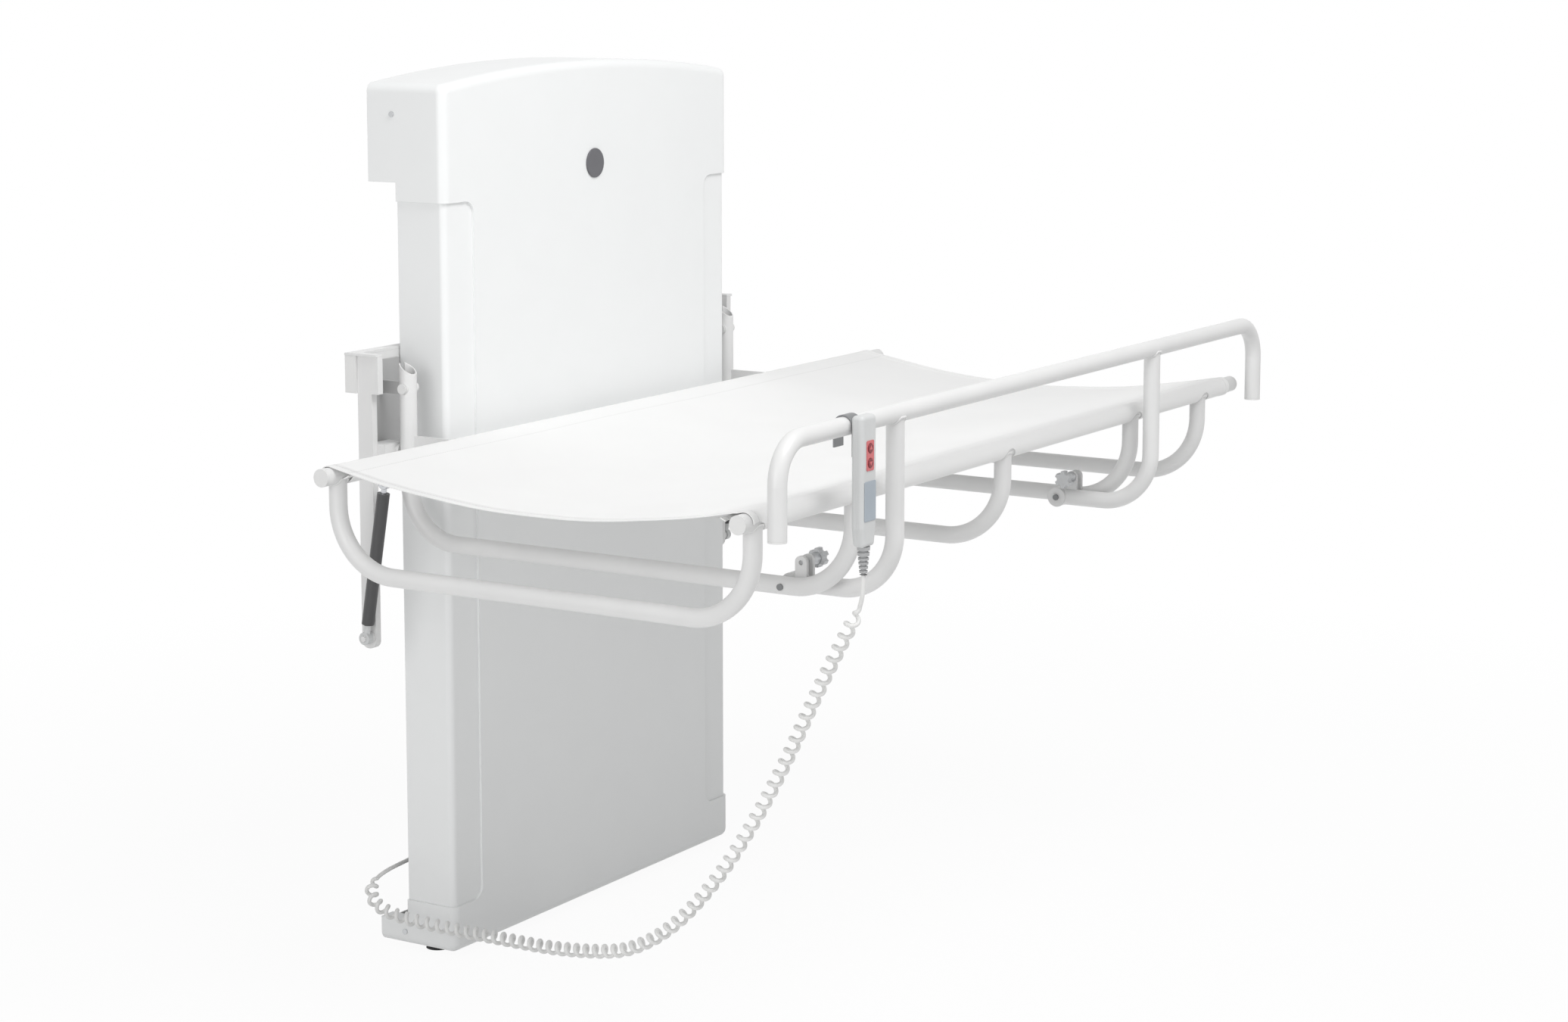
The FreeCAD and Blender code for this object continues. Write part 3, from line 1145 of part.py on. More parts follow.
def main():
    os.makedirs("parts", exist_ok=True)
    save("front_cover", front_cover())
    save("badge_disc", badge())
    save("rubber_feet", feet())
    save("cover_screws", cover_screws())
    save("wall_plate", wall_plate())
    save("actuator_tube", actuator_tube())
    save("actuator_motor", actuator_motor())
    save("actuator_foot", actuator_foot())
    save("control_box", control_box())
    save("cord_gland", cord_gland())
    save("actuator_rod", actuator_rod())
    save("carriage_plate", carriage_plate())
    save("lift_beam", lift_beam())
    save("beam_cap", beam_cap())
    save("beam_end_plugs", beam_end_plugs())
    save("front_tube", long_tube(FRONT_Y))
    save("rear_tube", long_tube(REAR_Y))
    save("tube_end_plugs", tube_end_plugs())
    save("cross_tube_left", cross_tube(-END_TUBE_X))
    save("cross_tube_middle", cross_tube(0))
    save("cross_tube_right", cross_tube(END_TUBE_X))
    save("pivot_bolts", pivot_bolts())
    save("lying_sheet", lying_sheet())
    save("rail_bar", rail_bar())
    save("rail_end_plugs", rail_end_plugs())
    save("guide_supports", on_both_sides(guide_supports))
    save("guide_bushings", on_both_sides(guide_bushings))
    save("stop_pads", on_both_sides(stop_pad))
    save("hinge_pins", on_both_sides(hinge_pin))
    save("spring_foot_pins", on_both_sides(spring_foot_pin))
    save("spring_studs", on_both_sides(spring_stud))
    save("latch_housings", on_both_sides(latch_housing))
    for name, side in SIDES.items():
        save("corner_panel_" + name, corner_panel(side))
        save("guide_shaft_" + name, guide_shaft(side))
        save("hanger_" + name, hanger(side))
        save("hinge_bracket_" + name, hinge_bracket(side))
        save("arm_" + name, on_side(left_arm(), side))
        save("spring_barrel_" + name, spring_barrel(side))
        save("spring_rod_" + name, spring_rod(side))
        save("rail_post_" + name, on_side(left_rail_post(), side))
        save("latch_knob_" + name, latch_knob(side))
    save("handset_front", handset_half(True))
    save("handset_back", handset_half(False))
    save("handset_window", handset_window())
    save("handset_pad", handset_pad())
    save("handset_board", handset_board())
    save("handset_hook", handset_hook())
    save("strain_relief", strain_relief())
    for name, z in button_places().items():
        save("button_" + name, button(z))
    save("curly_cord", curly_cord())


main()
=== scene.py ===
import json
import math

import bmesh
import bpy
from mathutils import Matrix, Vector

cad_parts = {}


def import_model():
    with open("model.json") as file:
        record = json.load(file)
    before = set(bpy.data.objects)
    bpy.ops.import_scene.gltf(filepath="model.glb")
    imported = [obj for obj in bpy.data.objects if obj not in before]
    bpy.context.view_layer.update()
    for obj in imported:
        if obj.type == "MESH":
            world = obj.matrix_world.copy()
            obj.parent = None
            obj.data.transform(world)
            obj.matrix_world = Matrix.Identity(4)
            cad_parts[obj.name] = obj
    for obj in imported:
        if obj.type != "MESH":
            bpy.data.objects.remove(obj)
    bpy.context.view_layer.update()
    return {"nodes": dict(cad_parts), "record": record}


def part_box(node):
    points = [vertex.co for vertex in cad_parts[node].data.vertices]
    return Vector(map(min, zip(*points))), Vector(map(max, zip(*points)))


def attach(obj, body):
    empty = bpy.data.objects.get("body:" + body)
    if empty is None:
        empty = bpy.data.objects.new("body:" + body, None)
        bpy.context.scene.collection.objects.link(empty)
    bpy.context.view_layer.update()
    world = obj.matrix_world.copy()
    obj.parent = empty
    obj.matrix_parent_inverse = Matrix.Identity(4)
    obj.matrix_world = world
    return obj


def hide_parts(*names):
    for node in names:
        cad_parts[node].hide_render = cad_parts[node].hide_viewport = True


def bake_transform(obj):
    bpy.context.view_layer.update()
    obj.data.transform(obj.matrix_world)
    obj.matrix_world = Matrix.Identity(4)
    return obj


# Wall-hung changing bench: camera, cord, sheet, small details, finishes and light, in metres.

# Camera
PHOTO_WIDTH_PIXELS = 2072
FOCAL_PIXELS = 4186.6
SENSOR_MILLIMETRES = 36.0
CAMERA_PLACE = (-4.7649, -3.5092, 1.7873)
CAMERA_YAW = 58.359
CAMERA_PITCH = -7.932
CAMERA_SHIFT = -0.08
CAMERA_REACH = 100.0

# Cord
CORD_DIAMETER = 0.0072
CURL_OUTER_DIAMETER = 0.025
CURL_COUNT = 65
CURL_GROWTH = 1.5
CURL_LOOSENESS = 1.1
CURL_STEPS = 22
CORD_SIDES = 12
LEAD_TOP = (-0.622, -1.100, 0.826)
LEAD_END = (-0.384, -0.031, 0.156)
CURL_ROUTE = [
    (-0.620, -1.096, 0.776),
    (-0.612, -1.064, 0.728),
    (-0.592, -0.994, 0.612),
    (-0.573, -0.933, 0.501),
    (-0.564, -0.863, 0.382),
    (-0.567, -0.791, 0.273),
    (-0.566, -0.708, 0.183),
    (-0.556, -0.618, 0.127),
    (-0.545, -0.537, 0.107),
    (-0.531, -0.434, 0.092),
    (-0.518, -0.328, 0.086),
    (-0.510, -0.237, 0.082),
    (-0.515, -0.163, 0.084),
    (-0.527, -0.095, 0.092),
    (-0.530, -0.052, 0.106),
    (-0.520, -0.032, 0.126),
    (-0.494, -0.028, 0.148),
]
ROUTE_ORDER = 3
ROUTE_STEPS = 24

# Heights between which the cord passes from the rail to the stretcher, the carriage and the wall unit
RAIL_SPLIT = 0.60
FOLD_SPLIT = 0.45

# Strain relief
RELIEF_TOP_RADIUS = 0.0105
RELIEF_END_RADIUS = 0.006
RELIEF_RINGS = (0.20, 0.20, 0.15, 0.15, 0.15, 0.15)
RELIEF_RING_DEPTH = 0.0026
RELIEF_GROOVE = 0.07
RELIEF_SEGMENTS = 32
RELIEF_EDGE_ANGLE = 35

# Sheet
TUBE_RADIUS = 0.015
SHEET_RADIUS = 0.0163
SHEET_THICKNESS = 0.0016
SHEET_SLOPE = 12.3
SEAM_ANGLE = 300.0
SLEEVE_FLAP = 0.039
SHEET_STEP = 0.009
SPAN_STEPS = 90
TURN_STEPS = 30
FLAP_STEPS = 4
HEM_WIDTH = 0.019
HEM_RISE = 0.0007
HEM_STEP = 0.0008
HEM_STITCH = 0.015
SEAM_STITCH = 0.042
STITCH_LENGTH = 0.006
STITCH_SHARE = 0.7
STITCH_EDGE = (0.0004, 0.0010)
STITCH_HEIGHT = 4.0
THREAD_TONE = 0.8
WEAVE_SCALE = 130.0
WEAVE_WANDER = 1.2
WEAVE_DEPTH = 0.00008
WEFT_TURN = 45
CLOTH_DRIFT = 0.012
CLOTH_DRIFT_SCALE = 5.0
CLOTH_ROUGHNESS = (0.5, 0.62)
CLOTH_SHEEN = 0.1
SHEET_EDGE_ANGLE = 50
RIPPLE = 0.0011
BROAD_WAVES = ((9, 4), (-2, 6))
FINE_WAVE = (5, 31)
FINE_SHARE = 0.4
NOTCH_RADIUS = 0.023
NOTCH_RISE = 0.002
NOTCH_REACH = 0.035
NOTCH_STEPS = 20
NOTCH_DEPTH = 3
TIE_NOTCH_RISE = 1.1
END_NOTCH_WIDTH = 1.5

# Welds
BEAD_RADIUS = 0.0021
BEAD_STAND_OFF = BEAD_RADIUS / 3
BEAD_STEPS = 48
BEAD_SIDES = 8
SADDLE_SETBACK = 0.005

# Key marks
MARK_SIZE = 0.0042
MARK_RISE = 0.0003
MARK_FOOT = 1.15

# Finishes
EDGE_SOFTNESS = 0.0009
EDGE_SAMPLES = 4
EDGE_TURN = (0.99, 0.80)
COAT_ROUGHNESS = 0.15
NOISE_RANGE = (0.3, 0.7)
DRIFT_SCALE = 11.0
DRIFT_DETAIL = 4.0
GRAIN_DETAIL = 2.0
SMEAR_SCALE = 23.0
SMEAR_DETAIL = 5.0
BARREL_FOOT = 0.6212

# Floor and light
FLOOR_SIZE = 40.0
FLOOR_COLOUR = (0.85, 0.85, 0.85, 1)
FLOOR_ROUGHNESS = 0.9
FLOOR_GAP = 0.0005
FLOOR_WHITENESS = 0.94
FLOOR_MIDDLE = (0.0, -0.55, 0.0)
FLOOR_FADE = (1.3, 3.2)
WORLD_LIGHT = 0.48
KEY_PLACE = (-0.8, -2.6, 4.2)
KEY_TARGET = (0.0, -0.3, 0.9)
KEY_SIZE = 2.2
KEY_WATTS = 95.0
SIDE_PLACE = (-4.5, -1.0, 1.6)
SIDE_TARGET = (-0.4, -0.2, 0.8)
SIDE_SIZE = 2.5
SIDE_WATTS = 45.0


# Meshes

def new_object(name, mesh):
    piece = bpy.data.objects.new(name, mesh)
    bpy.context.scene.collection.objects.link(piece)
    return piece


def mesh_piece(name, points, faces, material):
    mesh = bpy.data.meshes.new(name)
    mesh.from_pydata(points, [], faces)
    mesh.materials.append(material)
    mesh.shade_smooth()
    return new_object(name, mesh)


def tube_rings(path, radius, sides, closed=False):
    """Rings of points round a path, turned as little as possible from one to the next."""
    count = len(path)
    rings = []
    side = None
    for i in range(count):
        before = path[i - 1] if i or closed else path[0]
        after = path[(i + 1) % count] if i < count - 1 or closed else path[-1]
        along = (after - before).normalized()
        if side is None:
            side = along.orthogonal()
        side = (side - along * side.dot(along)).normalized()
        other = along.cross(side)
        ring = []
        for k in range(sides):
            angle = 2 * math.pi * k / sides
            ring.append(path[i] + (side * math.cos(angle) + other * math.sin(angle)) * radius)
        rings.append(ring)
    return rings


def ring_faces(count, sides, closed=False):
    faces = []
    for i in range(count if closed else count - 1):
        here = i * sides
        there = (i + 1) % count * sides
        for k in range(sides):
            follow = (k + 1) % sides
            faces.append((here + k, here + follow, there + follow, there + k))
    return faces


def tube_piece(name, rings, material, ends=(False, False)):
    """Tube through rings of points, with a flat end where ends says so."""
    sides = len(rings[0])
    points = [point for ring in rings for point in ring]
    faces = ring_faces(len(rings), sides)
    if ends[0]:
        faces.append(tuple(reversed(range(sides))))
    if ends[1]:
        faces.append(tuple(range(len(points) - sides, len(points))))
    return mesh_piece(name, points, faces, material)


# Cord

def route_line():
    """Points on the smooth curve that has the cord's route as its control points."""
    curve = bpy.data.curves.new("cord_route", "CURVE")
    curve.dimensions = "3D"
    spline = curve.splines.new("NURBS")
    straight = CORD_DIAMETER
    points = [Vector(LEAD_TOP), Vector(LEAD_TOP) - Vector((0, 0, straight))]
    points += [Vector(point) for point in CURL_ROUTE]
    points += [Vector(LEAD_END) - Vector((straight, 0, 0)), Vector(LEAD_END)]
    spline.points.add(len(points) - 1)
    for place, point in zip(spline.points, points):
        place.co = (*point, 1)
    spline.order_u = ROUTE_ORDER
    spline.use_endpoint_u = True
    spline.resolution_u = ROUTE_STEPS
    carrier = bpy.data.objects.new("cord_route", curve)
    mesh = bpy.data.meshes.new_from_object(carrier)
    line = [vertex.co.copy() for vertex in mesh.vertices]
    bpy.data.meshes.remove(mesh)
    bpy.data.objects.remove(carrier)
    bpy.data.curves.remove(curve)
    return line


def line_lengths(line):
    lengths = [0.0]
    for one, two in zip(line, line[1:]):
        lengths.append(lengths[-1] + (two - one).length)
    return lengths


def nearest_length(line, lengths, place):
    index = min(range(len(line)), key=lambda i: (line[i] - Vector(place)).length)
    return lengths[index]


def on_line(line, lengths, distance, index):
    """Point and direction at a distance along the line, searching on from index."""
    while index < len(line) - 2 and lengths[index + 1] < distance:
        index += 1
    share = (distance - lengths[index]) / (lengths[index + 1] - lengths[index])
    point = line[index].lerp(line[index + 1], share)
    return point, (line[index + 1] - line[index]).normalized(), index


def curl_line(line):
    """Middle line of the wire: straight leads, with curls between them that tighten towards the gland."""
    lengths = line_lengths(line)
    first = nearest_length(line, lengths, CURL_ROUTE[0])
    last = nearest_length(line, lengths, CURL_ROUTE[-1])
    path = [point for point, length in zip(line, lengths) if length < first]
    index = 0
    for step in range(CURL_COUNT * CURL_STEPS + 1):
        share = step / (CURL_COUNT * CURL_STEPS)
        turn = step / CURL_STEPS
        distance = first + (last - first) * share * (CURL_LOOSENESS + (1 - CURL_LOOSENESS) * share)
        centre, along, index = on_line(line, lengths, distance, index)
        side = (Vector((1, 0, 0)) - along * along.x).normalized()
        other = along.cross(side)
        grown = min(turn, CURL_COUNT - turn, CURL_GROWTH) / CURL_GROWTH
        radius = (CURL_OUTER_DIAMETER - CORD_DIAMETER) / 2 * grown * grown * (3 - 2 * grown)
        angle = 2 * math.pi * turn
        path.append(centre + side * (radius * math.cos(angle)) + other * (radius * math.sin(angle)))
    return path + [point for point, length in zip(line, lengths) if length > last]


def place_below(path, height):
    return next(i for i, point in enumerate(path) if point.z < height)


def curly_cord(material):
    """The cord in three lengths, split at two heights."""
    path = curl_line(route_line())
    rings = tube_rings(path, CORD_DIAMETER / 2, CORD_SIDES)
    cuts = [0, place_below(path, RAIL_SPLIT), place_below(path, FOLD_SPLIT), len(path) - 1]
    names = ["cord_top", "cord_middle", "cord_foot"]
    for i, name in enumerate(names):
        own_rings = rings[cuts[i]:cuts[i + 1] + 1]
        piece = tube_piece(name, own_rings, material, (i == 0, i == len(names) - 1))
        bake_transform(piece)
        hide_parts("curly_cord")


# Strain relief

def strain_relief(material):
    """Tapered sleeve of rings with grooves between them, on the cord's way out of the handset."""
    low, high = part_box("strain_relief")
    middle = (low + high) / 2
    profile = [(high.z, CORD_DIAMETER / 2), (high.z, RELIEF_TOP_RADIUS)]
    start = 0.0
    for ring in RELIEF_RINGS:
        end = start + ring - RELIEF_GROOVE
        steps = ((start, 0.0), (end, 0.0), (end, RELIEF_RING_DEPTH), (start + ring, RELIEF_RING_DEPTH))
        for along, depth in steps:
            radius = RELIEF_TOP_RADIUS + (RELIEF_END_RADIUS - RELIEF_TOP_RADIUS) * along
            profile.append((high.z + (low.z - high.z) * along, radius - depth))
        start += ring
    profile += [(low.z, RELIEF_END_RADIUS), (low.z, CORD_DIAMETER / 2)]
    points = []
    for z, radius in profile:
        for k in range(RELIEF_SEGMENTS):
            angle = 2 * math.pi * k / RELIEF_SEGMENTS
            points.append((middle.x + radius * math.cos(angle), middle.y + radius * math.sin(angle), z))
    piece = mesh_piece("relief_sleeve", points, ring_faces(len(profile), RELIEF_SEGMENTS), material)
    piece.data.set_sharp_from_angle(angle=math.radians(RELIEF_EDGE_ANGLE))
    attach(piece, "rail")
    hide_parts("strain_relief")


# Sheet

def sleeve_profile(centre, inward, grow):
    """From the seam under the sheet round the outside of a tube to where the sheet leaves it, in Y and Z."""
    radius = SHEET_RADIUS + grow
    first = math.radians(SEAM_ANGLE)
    last = math.radians(90 - SHEET_SLOPE)
    points = []
    for i in range(TURN_STEPS + 1):
        angle = first + (last - first) * i / TURN_STEPS
        points.append(Vector((inward * radius * math.cos(angle), radius * math.sin(angle))))
    away = Vector((-inward * math.sin(first), math.cos(first)))
    flap = [points[0] + away * (SLEEVE_FLAP * i / FLAP_STEPS) for i in range(FLAP_STEPS, 0, -1)]
    return [Vector(centre) + point for point in flap + points]


def sheet_profile(grow):
    """Outline of the sheet across the bench, from the front sleeve's seam to the rear one's."""
    front, rear = [tube_middle(name) for name in ("front_tube", "rear_tube")]
    front_part = sleeve_profile(front, 1, grow)
    rear_part = sleeve_profile(rear, -1, grow)
    start, end = front_part[-1], rear_part[-1]
    depth = (end.x - start.x) * math.tan(math.radians(SHEET_SLOPE)) / 4
    span = []
    for i in range(1, SPAN_STEPS):
        share = i / SPAN_STEPS
        span.append(start.lerp(end, share) - Vector((0, 4 * depth * share * (1 - share))))
    return front_part + span + rear_part[::-1]


def tube_middle(node):
    low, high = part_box(node)
    return ((low.y + high.y) / 2, (low.z + high.z) / 2)


def middle_x(node):
    low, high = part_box(node)
    return (low.x + high.x) / 2


def sheet_columns():
    """Places along the bench, close together at the hems' edges."""
    low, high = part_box("lying_sheet")
    left, right = low.x, high.x
    inner_left, inner_right = left + HEM_WIDTH, right - HEM_WIDTH
    count = round((inner_right - inner_left) / SHEET_STEP)
    step = (inner_right - inner_left - 2 * HEM_STEP) / count
    inner = [inner_left + HEM_STEP + step * i for i in range(count + 1)]
    return [left, inner_left], inner, [inner_right, right]


def wave(x, y, turns):
    return math.sin(turns[0] * x + turns[1] * y)


def ripple(x, y):
    """Height of the slack in the cloth at a place."""
    broad = wave(x, y, BROAD_WAVES[0]) * wave(x, y, BROAD_WAVES[1])
    return RIPPLE * (broad + FINE_SHARE * wave(x, y, FINE_WAVE))


def sheet_grid():
    """Points and faces of the cloth, column by column along the bench."""
    left_hem, inner, right_hem = sheet_columns()
    plain = sheet_profile(0)
    raised = sheet_profile(HEM_RISE)
    loose = range(FLAP_STEPS + TURN_STEPS + 2, len(plain) - FLAP_STEPS - TURN_STEPS - 2)
    points = []
    for columns, profile in ((left_hem, raised), (inner, plain), (right_hem, raised)):
        for x in columns:
            for i, place in enumerate(profile):
                rise = ripple(x, place.x) if i in loose else 0.0
                points.append((x, place.x, place.y + rise))
    count = len(left_hem) + len(inner) + len(right_hem)
    width = len(plain)
    faces = []
    for i in range(count - 1):
        for k in range(width - 1):
            faces.append((i * width + k, i * width + k + 1, (i + 1) * width + k + 1, (i + 1) * width + k))
    return points, faces


def arch(cutter, x, y0, y1, top, radius):
    """Adds a bar with a round top, along Y, to the cutting mesh."""
    foot = top - NOTCH_DEPTH * radius
    outline = [(x - radius, foot), (x + radius, foot)]
    for i in range(NOTCH_STEPS + 1):
        angle = math.pi * i / NOTCH_STEPS
        outline.append((x + radius * math.cos(angle), top - radius + radius * math.sin(angle)))
    near = [cutter.verts.new((across, y0, height)) for across, height in outline]
    far = [cutter.verts.new((across, y1, height)) for across, height in outline]
    cutter.faces.new(near)
    cutter.faces.new(far[::-1])
    for i in range(len(outline)):
        follow = (i + 1) % len(outline)
        cutter.faces.new((near[follow], near[i], far[i], far[follow]))


def notch_cutter():
    """Room in the sleeves for the tubes that come up to the long tubes and for the ties of the arms."""
    cutter = bmesh.new()
    for tube, inward in (("front_tube", 1), ("rear_tube", -1)):
        y, z = tube_middle(tube)
        near, far = y - inward * NOTCH_REACH, y + inward * NOTCH_REACH
        for leg in ("arm_left", "cross_tube_middle", "arm_right", "cross_tube_right"):
            if tube == "rear_tube" and leg.startswith("arm"):
                arch(cutter, middle_x(leg), y, near, z + TIE_NOTCH_RISE * NOTCH_RADIUS, NOTCH_RADIUS)
            else:
                arch(cutter, middle_x(leg), near, far, z + NOTCH_RISE, NOTCH_RADIUS)
        end = middle_x("cross_tube_left") - NOTCH_RADIUS / 2
        arch(cutter, end, near, far, z + NOTCH_RISE, END_NOTCH_WIDTH * NOTCH_RADIUS)
    bmesh.ops.recalc_face_normals(cutter, faces=cutter.faces)
    mesh = bpy.data.meshes.new("notch_cutter")
    cutter.to_mesh(mesh)
    cutter.free()
    return new_object("notch_cutter", mesh)


def lying_sheet(material):
    """The cloth with its thickness and its notches, as one mesh."""
    points, faces = sheet_grid()
    piece = mesh_piece("sheet", points, faces, material)
    cutter = notch_cutter()
    thickness = piece.modifiers.new("thickness", "SOLIDIFY")
    thickness.thickness = SHEET_THICKNESS
    thickness.offset = 0
    notches = piece.modifiers.new("notches", "BOOLEAN")
    notches.object = cutter
    notches.solver = "EXACT"
    shaped = bpy.data.meshes.new_from_object(piece.evaluated_get(bpy.context.evaluated_depsgraph_get()))
    piece.modifiers.clear()
    piece.data = shaped
    shaped.shade_smooth()
    shaped.set_sharp_from_angle(angle=math.radians(SHEET_EDGE_ANGLE))
    bpy.data.objects.remove(cutter)
    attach(piece, "stretcher")
    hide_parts("lying_sheet")


# Weld beads where tubes meet

def bead_path(x, y, tube_height):
    """Closed line where an upright tube meets the underside of one that lies along X."""
    path = []
    radius = TUBE_RADIUS + BEAD_STAND_OFF
    for i in range(BEAD_STEPS):
        angle = 2 * math.pi * i / BEAD_STEPS
        across = radius * math.sin(angle)
        drop = math.sqrt(max(TUBE_RADIUS ** 2 - across ** 2, 0))
        z = tube_height - max(drop, SADDLE_SETBACK)
        path.append(Vector((x + radius * math.cos(angle), y + across, z)))
    return path


def weld_beads(name, body, places, material):
    """One piece with a bead at each place."""
    points = []
    faces = []
    for x, y, height in places:
        rings = tube_rings(bead_path(x, y, height), BEAD_RADIUS, BEAD_SIDES, True)
        first = len(points)
        points += [point for ring in rings for point in ring]
        faces += [tuple(first + k for k in face) for face in ring_faces(len(rings), BEAD_SIDES, True)]
    piece = mesh_piece(name, points, faces, material)
    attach(piece, body)


def all_welds(material):
    front, rear = tube_middle("front_tube"), tube_middle("rear_tube")
    places = []
    for leg in ("cross_tube_left", "cross_tube_middle", "cross_tube_right"):
        places += [(middle_x(leg), *front), (middle_x(leg), *rear)]
    places += [(middle_x(arm), *front) for arm in ("arm_left", "arm_right")]
    weld_beads("frame_welds", "stretcher", places, material)
    rail_low, rail_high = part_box("rail_bar")
    bar = ((rail_low.y + rail_high.y) / 2, rail_high.z - TUBE_RADIUS)
    places = [(middle_x(post), *bar) for post in ("rail_post_left", "rail_post_right")]
    weld_beads("rail_welds", "rail", places, material)


# Marks on the keys

def key_mark(name, body, up, material):
    """Raised arrow head on a key's face."""
    low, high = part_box(name)
    x, z = (low.x + high.x) / 2, (low.z + high.z) / 2
    size = MARK_SIZE if up else -MARK_SIZE
    corners = [(-MARK_SIZE, -size / 2), (MARK_SIZE, -size / 2), (0, size)]
    front = [(x + dx, low.y - MARK_RISE, z + dz) for dx, dz in corners]
    back = [(x + dx * MARK_FOOT, low.y + MARK_RISE, z + dz * MARK_FOOT) for dx, dz in corners]
    faces = [(0, 1, 2), (5, 4, 3)]
    faces += [(i, i + 3, (i + 1) % 3 + 3, (i + 1) % 3) for i in range(3)]
    piece = mesh_piece(name + "_mark", front + back, faces, material)
    piece.data.shade_flat()
    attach(piece, body)


# Finishes

def add(tree, kind, inputs, **settings):
    """New shader node with its settings and with values or links on its inputs."""
    made = tree.nodes.new("ShaderNode" + kind)
    for name, value in settings.items():
        setattr(made, name, value)
    for name, value in inputs.items():
        if isinstance(value, bpy.types.NodeSocket):
            tree.links.new(value, made.inputs[name])
        else:
            made.inputs[name].default_value = value
    return made


def new_material(name, metallic, coat):
    material = bpy.data.materials.new(name)
    material.use_nodes = True
    tree = material.node_tree
    shader = tree.nodes["Principled BSDF"]
    shader.inputs["Metallic"].default_value = metallic
    shader.inputs["Coat Weight"].default_value = coat
    shader.inputs["Coat Roughness"].default_value = COAT_ROUGHNESS
    return material, tree, shader


def mottled(tree, place, colour, amount, scale):
    """Colour that drifts a little from place to place."""
    drift = add(tree, "TexNoise", {"Vector": place, "Scale": scale, "Detail": DRIFT_DETAIL})
    ramp = add(tree, "ValToRGB", {"Fac": drift.outputs["Fac"]})
    ends = ramp.color_ramp.elements
    ends[0].position, ends[1].position = NOISE_RANGE
    ends[0].color = (*[part * (1 - amount) for part in colour], 1)
    ends[1].color = (*[min(part * (1 + amount), 1) for part in colour], 1)
    return ramp.outputs["Color"]


def edge_wear(tree, rounded, colour, worn):
    """The colour with a worn tone along sharp edges."""
    flat = add(tree, "NewGeometry", {})
    turn = add(tree, "VectorMath", {0: rounded, 1: flat.outputs["Normal"]}, operation="DOT_PRODUCT")
    edge = add(tree, "MapRange", {"Value": turn.outputs["Value"],
                                  "From Min": EDGE_TURN[0], "From Max": EDGE_TURN[1]})
    mix = add(tree, "MixRGB", {"Fac": edge.outputs["Result"], "Color1": colour, "Color2": (*worn, 1)})
    return mix.outputs["Color"]


def finish_material(name, colour, roughness, grain, depth, drift=0.02, worn=0.88, metallic=0.0, coat=0.0,
                    stretch=(1, 1, 1), smudge=0.18):
    """Finish with a fine grain, a slow drift of colour, soft edges and a little wear along them."""
    material, tree, shader = new_material(name, metallic, coat)
    place = add(tree, "TexCoord", {}).outputs["Object"]
    place = add(tree, "Mapping", {"Vector": place, "Scale": stretch}).outputs["Vector"]
    rounded = add(tree, "Bevel", {"Radius": EDGE_SOFTNESS}, samples=EDGE_SAMPLES).outputs["Normal"]
    tone = mottled(tree, place, colour, drift, DRIFT_SCALE)
    tone = edge_wear(tree, rounded, tone, [part * worn for part in colour])
    tree.links.new(tone, shader.inputs["Base Color"])
    smear = add(tree, "TexNoise", {"Vector": place, "Scale": SMEAR_SCALE, "Detail": SMEAR_DETAIL})
    smooth, dull = roughness * (1 - smudge), min(roughness * (1 + smudge), 1)
    rough = add(tree, "MapRange", {"Value": smear.outputs["Fac"], "From Min": NOISE_RANGE[0],
                                   "From Max": NOISE_RANGE[1], "To Min": smooth, "To Max": dull})
    tree.links.new(rough.outputs["Result"], shader.inputs["Roughness"])
    fine = add(tree, "TexNoise", {"Vector": place, "Scale": grain, "Detail": GRAIN_DETAIL}).outputs["Fac"]
    bump = add(tree, "Bump", {"Height": fine, "Distance": depth, "Normal": rounded})
    tree.links.new(bump.outputs["Normal"], shader.inputs["Normal"])
    return material


def spring_material(name, dark, light):
    """Painted barrel over a light foot, split at a height in the part's own place."""
    material = finish_material(name, dark, roughness=0.38, grain=700, depth=0.00003, drift=0.12, worn=1.8)
    tree = material.node_tree
    shader = tree.nodes["Principled BSDF"]
    painted = shader.inputs["Base Color"].links[0].from_socket
    place = add(tree, "TexCoord", {}).outputs["Object"]
    height = add(tree, "SeparateXYZ", {"Vector": place}).outputs["Z"]
    upper = add(tree, "Math", {0: height, 1: BARREL_FOOT}, operation="GREATER_THAN").outputs[0]
    tone = add(tree, "MixRGB", {"Fac": upper, "Color1": (*light, 1), "Color2": painted})
    tree.links.new(tone.outputs["Color"], shader.inputs["Base Color"])
    return material


def stitch_line(tree, across, along, place):
    """One where a row of stitches runs at a place across, broken into stitches along it."""
    offset = add(tree, "Math", {0: across, 1: place}, operation="SUBTRACT")
    away = add(tree, "Math", {0: offset.outputs[0]}, operation="ABSOLUTE")
    line = add(tree, "MapRange", {"Value": away.outputs[0], "From Min": STITCH_EDGE[0],
                                  "From Max": STITCH_EDGE[1], "To Min": 1.0, "To Max": 0.0})
    beat = add(tree, "Math", {0: along, 1: STITCH_LENGTH}, operation="FLOORED_MODULO")
    dash = add(tree, "Math", {0: beat.outputs[0], 1: STITCH_LENGTH * STITCH_SHARE}, operation="LESS_THAN")
    return add(tree, "Math", {0: line.outputs["Result"], 1: dash.outputs[0]}, operation="MULTIPLY").outputs[0]


